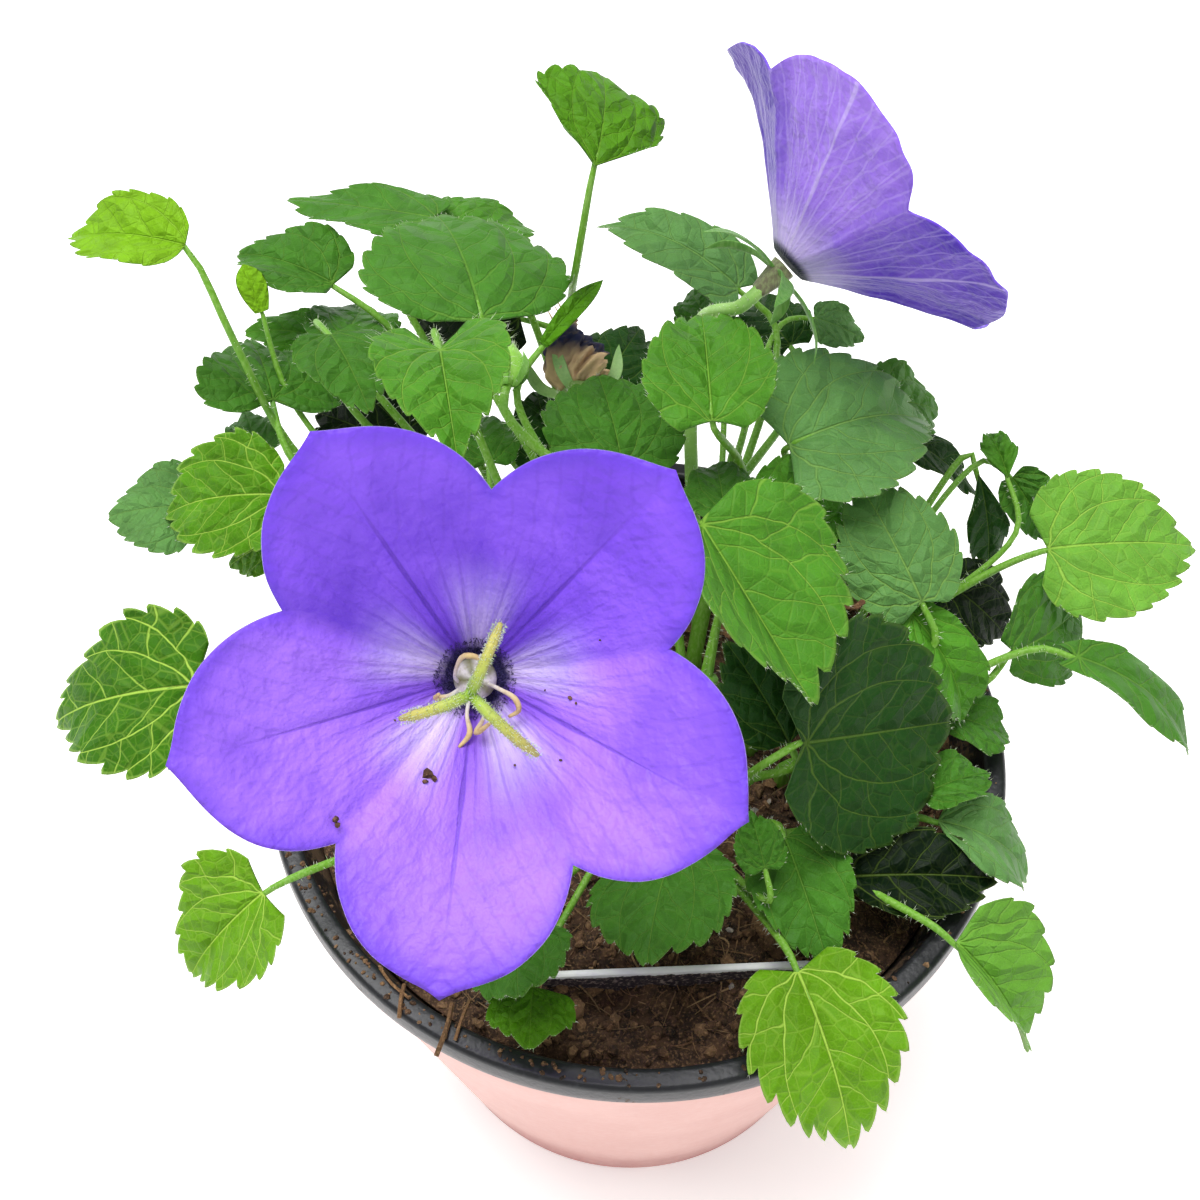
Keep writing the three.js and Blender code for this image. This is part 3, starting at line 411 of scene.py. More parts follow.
def kept(tree, name, colour=False):
    made = tree.nodes.new("ShaderNodeAttribute")
    made.attribute_name = name
    return made.outputs["Color" if colour else "Fac"]


def split(tree, vector):
    made = tree.nodes.new("ShaderNodeSeparateXYZ")
    feed(tree, made.inputs[0], vector)
    return made.outputs[0], made.outputs[1], made.outputs[2]


def joined(tree, x, y, z):
    made = tree.nodes.new("ShaderNodeCombineXYZ")
    for socket, value in zip(made.inputs, (x, y, z)):
        feed(tree, socket, value)
    return made.outputs[0]


def joinedColour(tree, shade):
    made = tree.nodes.new("ShaderNodeCombineColor")
    for socket in made.inputs[:3]:
        feed(tree, socket, shade)
    return made.outputs[0]


def bumped(tree, height, strength, distance):
    made = tree.nodes.new("ShaderNodeBump")
    made.inputs["Strength"].default_value = strength
    made.inputs["Distance"].default_value = distance
    feed(tree, made.inputs["Height"], height)
    return made.outputs[0]


def newMaterial(name):
    material = bpy.data.materials.new(name)
    material.use_nodes = True
    tree = material.node_tree
    return material, tree, tree.nodes["Principled BSDF"].inputs


def newGroup(name, takes, gives):
    # A node group with named sockets; returns it with its tree's input outlets and output inlets
    group = bpy.data.node_groups.new(name, "ShaderNodeTree")
    for label, kind in takes:
        group.interface.new_socket(name=label, in_out="INPUT", socket_type=kind)
    for label, kind in gives:
        group.interface.new_socket(name=label, in_out="OUTPUT", socket_type=kind)
    return group, group.nodes.new("NodeGroupInput").outputs, group.nodes.new("NodeGroupOutput").inputs


def useGroup(tree, group, **values):
    made = tree.nodes.new("ShaderNodeGroup")
    made.node_tree = group
    for label, value in values.items():
        feed(tree, made.inputs[label], value)
    return made.outputs


# Leafy stems

# deep and dark are painted shade: darker greens for leaves that lie under others, where the shade falls
tones = {
    "lime": srgb(98, 152, 16), "yellow": srgb(122, 176, 24), "fresh": srgb(76, 132, 12),
    "bright": srgb(74, 134, 32), "mid": srgb(64, 118, 32), "grey": srgb(90, 138, 70),
    "deep": srgb(24, 64, 12), "dark": srgb(3, 24, 3), "moss": srgb(52, 104, 4), "pale": srgb(100, 156, 50),
    "stalk": srgb(104, 160, 40), "stem": srgb(150, 198, 100),
}


def newLeaf(name, tone, at, tip, long, wide, **more):
    return {"name": name, "tone": tone, "at": at, "tip": tip, "long": long, "wide": wide, **more}


def leafyStem(name, root, top, leaves, buds=False):
    return {"name": name, "root": root, "top": top, "leaves": leaves, "buds": buds}


# A leaf's petiole ends where it is seen at x, y and the height given; its tip is seen at x, y, as far
# off as the leaf is long. near: the tip comes towards the viewer; roll: a turn about the midrib
leafyStems = [
    leafyStem("stem_left_back", (-14, 9), (-19, 12, 92), [
        newLeaf("l1", "yellow", (185, 246, 135), (73, 238), 17, 13, face=0.4, roll=10, fold=0.4, lobes=0.05,
                hips=0.1, via=((295, 452, 108), (236, 345, 124)), ribs=0.2),
        newLeaf("l10", "mid", (273, 400, 114), (250, 343), 14, 20, face=0.7, roll=25, lobes=0.3, hips=0.4),
        newLeaf("l2", "yellow", (262, 312, 122), (243, 264), 8, 4.5, narrow=True),
    ]),
    leafyStem("stem_back_left", (-7, 15), (-12, 21, 93), [
        newLeaf("l3", "mid", (333, 284, 120), (240, 256), 17, 15, face=0.4, roll=20, fold=0.4, hairy=1.4),
        newLeaf("l8", "bright", (327, 340, 108), (246, 332), 13, 10, face=0.2, roll=10),
        newLeaf("l9", "mid", (331, 335, 124), (369, 412), 16, 13, near=True, roll=-10),
        newLeaf("l9b", "mid", (345, 341, 116), (368, 308), 15, 13.5, face=0.3),
    ]),
    leafyStem("stem_back", (0, 20), (-6, 27, 92), [
        newLeaf("l4", "mid", (483, 322, 128), (438, 215), 27, 29, face=0.4, roll=15, fold=0, lobes=0,
                via=((532, 455, 110), (484, 372, 119))),
        newLeaf("l5", "mid", (432, 218, 123), (290, 203), 23, 14, face=0.3, roll=25, arch=0.02),
        newLeaf("l6", "bright", (450, 230, 121), (533, 231), 14, 16, face=0.2, roll=-15),
        newLeaf("l54", "dark", (520, 318, 111), (412, 320), 18, 16),
        newLeaf("l53", "deep", (600, 392, 103), (640, 330), 15, 13),
        newLeaf("l7", "fresh", (595, 166, 150), (604, 75), 16, 18, roll=25, fold=0, lobes=-0.15, hips=-0.25,
                via=((568, 335, 99), (572, 292, 118), (577, 262, 134))),
    ]),
    leafyStem("stem_back_tall", (-7, 6), (-10, 12, 96), [
        newLeaf("l11", "bright", (440, 350, 136), (457, 456), 19, 17, near=True, face=0.2, fold=0.4,
                lobes=0.35, ribs=0.3, hairy=2.2),
        newLeaf("l51", "dark", (405, 452, 102), (318, 412), 16, 17),
        newLeaf("l52", "mid", (488, 462, 108), (480, 418), 11, 10),
        newLeaf("l55", "deep", (552, 462, 103), (537, 392), 13, 12),
    ]),
    leafyStem("stem_bud", (2, 12), (3, 18, 108), [
        newLeaf("l12", "fresh", (543, 345, 126), (603, 280), 14, 3.2, narrow=True),
        newLeaf("l15", "mid", (622, 464, 113), (598, 379), 15, 20.5, face=0.3, roll=10, lobes=0.3,
                hips=-0.1, hairy=1.3),
    ], buds=True),
    leafyStem("stem_back_bloom", (9, 16), (14, 30, 112), [
        newLeaf("l18", "grey", (738, 288, 117), (600, 226), 24, 12, face=0.1, fold=0.2, arch=0.15,
                hips=0.35),
        newLeaf("l18b", "mid", (712, 330, 112), (690, 293), 10, 9),
        newLeaf("dark1", "deep", (790, 345, 108), (748, 302), 13, 11),
        newLeaf("grey", "grey", (815, 318, 112), (862, 340), 9, 7),
    ]),
    leafyStem("stem_back_right", (14, 9), (19, 15, 98), [
        newLeaf("l16", "bright", (712, 421, 129), (702, 315), 20, 17, fold=0.3, via=((745, 480, 112),),
                ribs=0.25),
        newLeaf("l17", "grey", (789, 445, 121), (926, 420), 23, 23, face=0.3, fold=0.2, arch=0.15, hips=0.4,
                via=((785, 466, 112),), ribs=0.2),
        newLeaf("l20", "mid", (880, 400, 110), (936, 412), 13, 13),
        newLeaf("l28", "deep", (908, 440, 105), (974, 497), 14, 8, face=0.2, roll=-20, fold=0.2, hips=0.4),
    ]),
    leafyStem("stem_centre", (5, -1), (10, 0, 100), [
        newLeaf("l21", "bright", (699, 522, 127), (811, 700), 26, 29, near=True, face=0.3, roll=-35,
                fold=0.5, arch=0, ribs=0.38, hairy=1.3),
        newLeaf("l22", "bright", (766, 526, 115), (839, 480), 13, 14, roll=15, hips=0),
        newLeaf("l23", "mid", (725, 512, 118), (716, 463), 10, 10),
    ]),
    leafyStem("stem_right", (17, 2), (23, 2, 94), [
        newLeaf("l24", "grey", (922, 602, 110), (860, 485), 18, 16, fold=0, hips=0.1, ribs=0.25),
        newLeaf("l25", "bright", (911, 614, 107), (962, 720), 17, 10, face=0.2, roll=-10, fold=0.4,
                arch=0.15, hips=-0.2),
    ]),
    leafyStem("stem_right_far", (22, 8), (30, 9, 92), [
        newLeaf("l30", "pale", (1048, 549, 106), (1191, 546), 22, 22, ribs=0.5),
        newLeaf("l31a", "bright", (1008, 478, 110), (989, 432), 9, 5, face=0.3, fold=0.3, lobes=-0.2),
        newLeaf("l31b", "mid", (1012, 478, 108), (1048, 540), 11, 8, fold=0.5),
        newLeaf("l29", "deep", (978, 474, 104), (986, 563), 14, 7, roll=-25, hips=-0.3, lobes=-0.2),
        newLeaf("dark2", "dark", (950, 585, 99), (1005, 635), 13, 12),
    ]),
    leafyStem("stem_right_low", (21, -4), (28, -4, 88), [
        newLeaf("l32", "mid", (1014, 652, 99), (1078, 608), 15, 16, face=0.7, roll=35, fold=0, hips=-0.3),
        newLeaf("l33", "mid", (1076, 657, 102), (1189, 749), 24, 11, face=0.3, roll=-25, arch=0.12,
                hips=-0.2),
        newLeaf("l34", "mid", (946, 715, 93), (1008, 739), 10, 9.5, face=0.1, roll=-5, fold=0.2, hips=-0.2),
        newLeaf("l35", "mid", (924, 795, 95), (987, 774), 10, 9, face=0.2, roll=-15, fold=0.3, hips=0),
    ]),
    leafyStem("stem_front_right", (12, -8), (15, -11, 92), [
        newLeaf("l26", "deep", (803, 743, 108), (949, 722), 23, 31, face=0.7, roll=25, arch=0, lobes=0.2,
                hips=0, ribs=0.14),
        newLeaf("l27", "deep", (789, 743, 103), (727, 643), 15, 11.5, face=0.3, lobes=0),
    ]),
    leafyStem("stem_front_low", (16, -15), (20, -18, 86), [
        newLeaf("l36", "grey", (938, 821, 92), (1025, 877), 17, 13, face=0.3, roll=-20, fold=0.2, arch=0.15,
                lobes=0, hips=0),
        newLeaf("l37", "dark", (845, 877, 90), (994, 878), 20, 12, face=0.5, fold=0.3, lobes=0, hips=0,
                ribs=0.15),
        newLeaf("l38", "pale", (956, 943, 92), (1024, 1048), 20, 15.5, fold=0.8, roll=-35, hips=0.5),
    ]),
    leafyStem("stem_front", (7, -14), (9, -18, 86), [
        newLeaf("l39", "mid", (785, 838, 93), (828, 966), 17.5, 13.5, near=True, face=0.4, fold=0.2),
        newLeaf("l40", "mid", (765, 868, 98), (750, 812), 7.5, 6.5),
        newLeaf("l42", "lime", (798, 972, 92), (849, 1142), 22, 19.5, face=0.2, fold=0.2, arch=0.18, ribs=1,
                toothCut=0.055),
    ]),
    leafyStem("stem_front_left", (-2, -13), (-4, -17, 86), [
        newLeaf("l41", "mid", (674, 850, 95), (648, 963), 16.5, 19.5, near=True, face=0.2, roll=20, fold=0,
                hips=0),
        newLeaf("l43", "mid", (523, 929, 93), (520, 998), 12, 14, near=True, face=0.3, roll=25, fold=0,
                lobes=0, hips=0),
        newLeaf("l44", "fresh", (533, 988, 90), (529, 1045), 9, 11, near=True, face=0.2, fold=0, lobes=0,
                hips=0),
    ]),
    leafyStem("stem_left", (-14, -8), (-19, -10, 88), [
        newLeaf("l45", "lime", (263, 893, 95), (191, 973), 17, 16.5, face=0.3, fold=0.35, hips=0.45,
                ribs=0.9, toothCut=0.05),
        newLeaf("l46", "moss", (195, 686, 101), (59, 721), 24, 22, arch=0.14, hips=0.4, ribs=1,
                toothCut=0.055),
        newLeaf("h2", "mid", (440, 760, 98), (370, 800), 15, 15),
    ]),
    leafyStem("stem_left_mid", (-17, 1), (-24, 2, 91), [
        newLeaf("l47", "fresh", (285, 495, 112), (168, 513), 18, 18, fold=0.2, arch=0.16, lobes=0.05,
                ribs=0.8, toothCut=0.045),
        newLeaf("l48", "grey", (198, 507, 106), (111, 518), 13, 15, face=0.2),
        newLeaf("l49", "fresh", (275, 540, 104), (232, 566), 9, 8, ribs=0.7),
        newLeaf("l50", "grey", (258, 452, 107), (246, 414), 9, 8),
    ]),
]

leafForm = {
    "thick": 0.3,
    "shoot": 1.3,
    "soilDepth": 8,
    "rings": np.array([0.07, 0.17, 0.3, 0.43, 0.56, 0.68, 0.79, 0.88, 0.94, 0.975, 1]),
    "notch": 2.72,
    "tip": (0.07, 0.22),
    "toothCut": 0.034,
    "toothShape": ((0, -1), (0.16, -0.35), (0.38, 0.3), (0.6, 0.75), (0.8, 1), (0.93, 0.25)),
    "face": 0.5, "fold": 0.12, "arch": 0.08, "cup": -0.08, "wave": 0.5, "lobes": 0.14, "hips": 0.24,
    "ribs": 0.14,  # how far the veins stand out in colour
}


petioleForm = {
    "radius": 0.62,
    "back": 0.16, "down": 0.1,  # where it bends towards its blade, in its own span
    "under": 0.42,  # how far it runs below its blade
    "rib": (0.14, 0.36, 0.62), "ribBelow": 0.2, "narrowRib": (0.1, 0.25), "narrowBelow": 0.1,
}

hairForm = {
    "margin": 2.2,  # hairs for each millimetre of a blade's length and width
    "marginLean": 0.5, "marginScatter": 0.3, "marginLong": (0.35, 0.8), "marginThick": 0.03, "sunk": 0.1,
    "stalkScatter": 0.25, "stalkLong": (0.6, 1.2), "stalkThick": 0.045,
}

lanceForm = {"sides": 12, "root": 0.45, "swell": 1.6, "least": 0.02, "thinner": 0.6}

soilForm = {"top": 78.5, "relief": 0.8, "shift": 1.1, "longPart": 0.6, "short": 0.58, "slant": 0.65,
            "mound": 1.5, "spread": 26.5}


def leafValue(leaf, name):
    return leaf.get(name, leafForm[name])


def bladeAxes(leaf):
    # A leaf's own axes: along to its tip, normal off its upper face, turned part way to the viewer
    base = seenAt(leaf["at"])
    tip = seenAtReach(base, leaf["long"], *leaf["tip"], leaf.get("near", False))
    along = unit(tip - base)
    face = leafValue(leaf, "face")
    upward = np.array([0, 0, 1 - face]) + face * unit(view["eye"] - base)
    normal = unit(upward - (upward @ along) * along)
    roll = math.radians(leaf.get("roll", 0))
    normal = normal * math.cos(roll) + np.cross(along, normal) * math.sin(roll)
    return {"base": base, "along": along, "across": np.cross(normal, along), "normal": normal,
            "long": np.linalg.norm(tip - base)}


def bladeLocal(leaf, long, turn, reach, tooth):
    # The heart-shaped outline by the angle turn round it, scaled by reach from the petiole's end, then
    # folded by |y|, arched by x(1 - x), cupped by y squared and waved by a sine of turn near the edge
    tall, spread = leafForm["tip"]
    lobes = leafValue(leaf, "lobes")
    swell = reach * (1 + tooth + tall * np.exp(-(turn / spread) ** 2))
    x = long * swell * ((1 + lobes) / 2 * np.cos(turn) + (1 - lobes) / 2) / (1 + tall)
    y = leaf["wide"] / 2 * swell * np.sin(turn) * (1 - leafValue(leaf, "hips") * np.cos(turn))
    along = np.maximum(x / long, -0.15)
    side = 2 * y / leaf["wide"]
    lift = (leafValue(leaf, "fold") * np.abs(y) + leafValue(leaf, "arch") * long * 4 * along * (1 - along)
            + leafValue(leaf, "cup") * leaf["wide"] / 2 * side ** 2
            + leafValue(leaf, "wave") * reach ** 3 * np.sin(4.6 * turn + leaf["wide"]))
    return np.stack([x, y, lift], axis=-1)


def inBlade(axes, local):
    local = np.asarray(local, float)
    return (axes["base"] + local[..., :1] * axes["along"] + local[..., 1:2] * axes["across"]
            + local[..., 2:] * axes["normal"])


def outlineTurns(leaf, random):
    # Turns and tooth heights from the notch round the tip to the notch, each tooth leaning forwards
    teeth = 9 if leaf["wide"] > 18 else 8 if leaf["wide"] > 12 else 6
    at, height = np.transpose(leafForm["toothShape"])

    def side():
        width = random.uniform(0.75, 1.25, teeth)
        starts = np.concatenate([[0], np.cumsum(width)[:-1]]) / width.sum()
        way = (starts[:, None] + at * (width / width.sum())[:, None]).ravel()
        tall = (height * random.uniform(0.6, 1.3, (teeth, 1))).ravel()
        return leafForm["notch"] * (1 - way), tall * leafValue(leaf, "toothCut")

    (turnA, toothA), (turnB, toothB) = side(), side()
    turn = np.concatenate([turnA, [0], -turnB[::-1]])
    tooth = np.concatenate([toothA, [0.3 * leafValue(leaf, "toothCut")], toothB[::-1]])
    return turn, tooth


def bladePart(leaf, axes, random):
    # A blade's two faces on the same grid of rings and turns, joined by a rim round the outline
    turn, tooth = outlineTurns(leaf, random)
    rings = leafForm["rings"]
    rows, columns = len(rings), len(turn)
    reach = rings[:, None] * np.ones(columns)
    local = bladeLocal(leaf, axes["long"], turn[None], reach, tooth[None] * reach ** 8)
    local[..., 2] += 0.25 * reach * noiseAt(local[..., 0] + 40, local[..., 1] + 40, int(leaf["at"][0]), 3.1)
    flat = np.vstack([[[0, 0, 0]], local.reshape(-1, 3)])
    edge = np.concatenate([[0], reach.ravel()])[:, None]
    half = leafForm["thick"] / 2 * (1 - 0.55 * edge ** 6)
    lift = np.array([[0, 0, 1]])
    points = np.vstack([inBlade(axes, flat + half * lift), inBlade(axes, flat - half * lift)])
    count = len(flat)
    c = np.arange(columns - 1)
    r = np.arange(rows - 1)
    spot = lambda row, column: 1 + row * columns + column
    none = np.full(columns - 1, -1)
    top = np.vstack([gridFaces(rows, columns, False, 1),
                     np.stack([np.zeros(columns - 1, int), spot(0, c + 1), spot(0, c), none], axis=1)])
    below = top[:, [2, 1, 0, 3]] + count
    quads = top[:, 3] >= 0
    below[quads] = top[quads][:, ::-1] + count
    below[~quads, 3] = -1
    last = columns - 1
    wall = lambda a, b: np.stack([a, b, b + count, a + count], axis=-1).reshape(-1, 4)
    rim = np.vstack([
        wall(spot(rows - 1, c), spot(rows - 1, c + 1)),
        wall(spot(r, 0), spot(r + 1, 0)), wall(np.array([0]), np.array([spot(0, 0)])),
        wall(spot(r + 1, last), spot(r, last)), wall(np.array([spot(0, last)]), np.array([0])),
    ])
    place = np.tile(flat[:, :2] / axes["long"], (2, 1))
    colour = tones[leaf["tone"]] * random.uniform(0.93, 1.07)
    blade = part(points, np.vstack([top, below, rim]), uv=place, tone=np.tile(colour, (2 * count, 1)),
                 edge=np.tile(edge, (2, 1)), under=np.repeat([0.0, 1.0], count)[:, None],
                 ribs=np.full((2 * count, 1), leafValue(leaf, "ribs")),
                 seed=np.full((2 * count, 1), random.uniform(0, 40)))
    return outward(blade), marginHairs(leaf, axes, local, random)


def marginHairs(leaf, axes, local, random):
    # Short hairs off the outline, leaning outwards and a little up
    form = hairForm
    count = int(form["margin"] * (leaf["long"] + leaf["wide"]))
    column = random.integers(1, local.shape[1] - 1, count)
    outer, inner = inBlade(axes, local[-1, column]), inBlade(axes, local[-3, column])
    outwards = unit(outer - inner)
    ways = outwards + form["marginLean"] * axes["normal"]
    ways = ways + random.normal(0, form["marginScatter"], (count, 3))
    long = random.uniform(*form["marginLong"], count) * leaf.get("hairy", 1)
    return hairs(outer - form["sunk"] * outwards, ways, long, form["marginThick"])


def lancePart(points, width, lift, steps=14, thick=0.3, crease=0.25):
    # A narrow pointed leaf: flat rings along a curve, widest past their middle, creased to a keel
    form = lanceForm
    path = curveThrough(points, steps + 1)
    along = unit(np.gradient(path, axis=0))
    side = unit(np.cross(lift, along))
    over = np.cross(along, side)
    at = np.linspace(0, 1, steps + 1)[:, None]
    half = width / 2 * (form["root"] + form["swell"] * at) * (1 - at ** 2) + form["least"]
    turn = turns(form["sides"])
    out = half * np.cos(turn)
    up = thick / 2 * np.sin(turn) * (1 - form["thinner"] * at) + crease * half * np.abs(np.cos(turn))
    rings = path[:, None] + out[..., None] * side[:, None] + up[..., None] * over[:, None]
    long = np.linalg.norm(np.asarray(points[-1], float) - points[0])
    place = np.stack([at * np.ones(len(turn)), out / max(long, 1)], axis=-1)
    return closedSleeve(rings, uv=place)


def painted(piece, colour):
    piece["tone"] = np.tile(colour, (len(piece["points"]), 1))
    return piece


def hairsOnRod(points, radius, count, long, random, start=0.0):
    # Hairs at random places of a stalk, square to it with some scatter
    path = curveThrough(points, 121)
    rings = ringsAlong(path, radius * 0.9, 16)
    row = random.integers(int(start * 120), 120, count)
    column = random.integers(0, 16, count)
    roots = rings[row, column]
    ways = unit(roots - path[row]) + random.normal(0, hairForm["stalkScatter"], (count, 3))
    return hairs(roots, ways, random.uniform(*hairForm["stalkLong"], count) * long, hairForm["stalkThick"])


def soilHeight(x, y):
    # Top of the mix: a long wave, a slanting short one and a low mound round the crown
    form = soilForm
    coarse = np.sin(0.19 * x + form["shift"]) * np.cos(0.23 * y - form["shift"] / 2)
    fine = (np.sin(form["short"] * (x - form["slant"] * y))
            + np.cos(form["short"] * (y + form["slant"] * x)))
    middle = np.exp(-(x * x + y * y) / form["spread"] ** 2)
    waves = form["longPart"] * coarse + (1 - form["longPart"]) * fine
    return form["top"] + form["relief"] * waves + form["mound"] * middle


def shootPoints(stem):
    x, y = stem["root"]
    ground = soilHeight(x, y)
    return [(x, y, ground - leafForm["soilDepth"]), (x, y, ground + 1), (x, y, ground + 2.5), stem["top"]]


def petioleParts(start, leaf, axes, random):
    # A stalk that leaves the shoot upwards, meets its blade from below and thins out as the midrib
    form = petioleForm
    narrow = leaf.get("narrow")
    span = np.linalg.norm(start - axes["base"])
    before = axes["base"] - form["back"] * span * axes["along"] - np.array([0, 0, form["down"] * span])
    middle = [seenAt(spot) for spot in leaf["via"]] if "via" in leaf else [before]
    ribs = np.array(form["narrowRib"] if narrow else form["rib"])
    local = bladeLocal(leaf, axes["long"], np.zeros(len(ribs)), ribs, 0) - [0, 0, form["ribBelow"]]
    if narrow:
        local[:, 2] = -form["narrowBelow"]
    path = [start, *middle, inBlade(axes, [0, 0, -form["under"]]), *inBlade(axes, local)]
    lengths = np.linalg.norm(np.diff(path, axis=0), axis=1)
    join = lengths[:-len(ribs)].sum() / lengths.sum()
    wide = form["radius"] * (0.8 if leaf["long"] < 12 else 1)
    radius = [[0, wide * 1.15], [join * 0.9, wide * 0.85], [join, wide * 0.7],
              [join + 0.3 * (1 - join), 0.3], [1, 0.08]]
    stalk = painted(rod(path, radius, 8, 26), tones["stalk"])
    return stalk, hairsOnRod(path[:-len(ribs)], wide, int(3 * span), 0.8, random)


def leafyStemParts(stem, random):
    # A shoot with its petioles at even steps of its upper half, each with a blade or a bract
    shoot = shootPoints(stem)
    wide = leafForm["shoot"]
    blades, fuzz = [], []
    stalks = [painted(rod(shoot, [[0, wide], [1, 0.8 * wide]], 10, 16), tones["stalk"])]
    path = curveThrough(shoot, 201)
    for i, leaf in enumerate(stem["leaves"]):
        axes = bladeAxes(leaf)
        start = path[round(200 * (0.5 + 0.45 * (i + 1) / len(stem["leaves"])))]
        stalk, down = petioleParts(start, leaf, axes, random)
        stalks.append(stalk)
        fuzz.append(down)
        if leaf.get("narrow"):
            long = leaf["long"]
            line = inBlade(axes, [[0, 0, 0], [0.5 * long, 0, 0.08 * long], [long, 0, 0]])
            blades.append(painted(lancePart(line, leaf["wide"], axes["normal"]), tones[leaf["tone"]]))
        else:
            blade, margin = bladePart(leaf, axes, random)
            blades.append(blade)
            fuzz.append(margin)
    return blades, stalks, fuzz


def leafVeinGroup():
    # The net of a leaf by its own place, x along the midrib and y across in leaf lengths. Three ribs a
    # side leave the petiole at a turn and bend to the tip: turn + bend * far stays even along each.
    # Branches leave the midrib and the first two ribs at even steps; cells of two sizes join them
    net = {"midrib": 0.012, "rib": 0.0085, "branch": 0.006, "spacing": 0.25, "slope": 0.7, "bend": 0.8,
           "ribs": ((0.95, 0.75), (1.5, 1.05), (2.25, 0.5)), "step": 0.19}
    group, given, gives = newGroup("leafVeins", [("Place", "NodeSocketVector")],
                                   [("Ribs", "NodeSocketFloat"), ("Net", "NodeSocketFloat"),
                                    ("Swell", "NodeSocketFloat")])
    make = maths(group)
    x, y, _ = split(group, given["Place"])
    x = make("ADD", x, make("MULTIPLY_ADD", grain(group, given["Place"], 3.6, 2), 0.16, -0.08))
    across = make("ABSOLUTE", y)
    far = make("SQRT", make("ADD", make("MULTIPLY", x, x), make("MULTIPLY", y, y)))
    turn = make("ARCTAN2", across, x)
    thinner = make("MULTIPLY_ADD", far, -0.65, 1.0)
    ribs = ease(group, make("DIVIDE", across, make("MULTIPLY", thinner, net["midrib"])), 1.3, 0.4)
    closest = across
    slope = make("MULTIPLY_ADD", across, net["bend"], net["slope"])
    branch = make("SUBTRACT", x, make("MULTIPLY", slope, across))
    branch = make("MULTIPLY_ADD", make("GREATER_THAN", y, 0.0), 0.45 * net["spacing"], branch)
    branch = make("DIVIDE", branch, net["spacing"])
    for start, bend in net["ribs"]:
        beyond = make("MULTIPLY", make("SUBTRACT", make("MULTIPLY_ADD", far, bend, turn), start), far)
        away = make("ABSOLUTE", beyond)
        closest = make("MINIMUM", closest, away)
        rib = ease(group, make("DIVIDE", away, make("MULTIPLY", thinner, net["rib"])), 1.3, 0.4)
        ribs = make("MAXIMUM", ribs, rib)
        outside = make("GREATER_THAN", beyond, 0.0)
        own = make("DIVIDE", make("MULTIPLY_ADD", beyond, -0.8, make("ADD", far, 0.1 * start)), net["step"])
        branch = make("MULTIPLY_ADD", outside, make("SUBTRACT", own, branch), branch)
    off = make("ABSOLUTE", make("SUBTRACT", branch, make("ROUND", branch)))
    gap = make("MULTIPLY", off, 0.75 * net["step"])
    ahead = ease(group, far, 0.1, 0.2)
    line = ease(group, make("DIVIDE", gap, make("MULTIPLY", thinner, net["branch"])), 1.4, 0.3)
    ribs = make("MAXIMUM", ribs, make("MULTIPLY", line, make("MULTIPLY", ahead, 0.75)))
    closest = make("MINIMUM", closest, gap)
    wide = cells(group, given["Place"], 7.5)
    narrow = cells(group, given["Place"], 19)
    lines = make("MAXIMUM", make("MULTIPLY", ease(group, wide, 0.06, 0.01), 0.6),
                 make("MULTIPLY", ease(group, narrow, 0.1, 0.02), 0.25))
    swell = make("MULTIPLY_ADD", ease(group, wide, 0.0, 0.3), 0.3, ease(group, closest, 0.0, 0.09, 0.0, 1.6))
    group.links.new(ribs, gives["Ribs"])
    group.links.new(lines, gives["Net"])
    group.links.new(swell, gives["Swell"])
    return group


def leafMaterial(veins):
    # The leaf's kept green, mottled, with its own slice of the vein net by its seed; paler below
    look = {"vein": srgb(176, 214, 84), "margin": srgb(150, 190, 80), "under": srgb(128, 164, 104),
            "rough": 0.4}
    material, tree, shader = newMaterial("leafBlade")
    make = maths(tree)
    x, y, _ = split(tree, surfacePlace(tree))
    place, here = joined(tree, x, y, kept(tree, "seed")), objectPlace(tree)
    drawn = useGroup(tree, veins, Place=place)
    fine = grain(tree, here, 5200, 2)
    patch = grain(tree, here, 210, 2)
    shade = make("MULTIPLY_ADD", patch, 0.7, make("MULTIPLY_ADD", fine, 0.5, 0.4))
    colour = tint(tree, 1.0, kept(tree, "tone", True), joinedColour(tree, shade), "MULTIPLY")
    lines = make("MAXIMUM", make("MULTIPLY", drawn["Ribs"], 0.8), make("MULTIPLY", drawn["Net"], 0.3))
    colour = tint(tree, make("MULTIPLY", lines, kept(tree, "ribs")), colour, look["vein"])
    colour = tint(tree, make("MULTIPLY", kept(tree, "under"), 0.5), colour, look["under"])
    rim = make("MULTIPLY", ease(tree, kept(tree, "edge"), 0.965, 0.99), kept(tree, "ribs"))
    colour = tint(tree, make("MULTIPLY", rim, 0.6), colour, look["margin"])
    feed(tree, shader["Base Color"], colour)
    feed(tree, shader["Roughness"], make("MULTIPLY_ADD", fine, 0.25, look["rough"]))
    shader["Specular IOR Level"].default_value = 0.15
    sunk = make("MULTIPLY_ADD", drawn["Ribs"], -0.5, make("MULTIPLY", drawn["Net"], -0.3))
    height = make("ADD", make("ADD", drawn["Swell"], sunk), make("MULTIPLY", fine, 0.12))
    feed(tree, shader["Normal"], bumped(tree, height, 0.7, 0.0007))
    return material


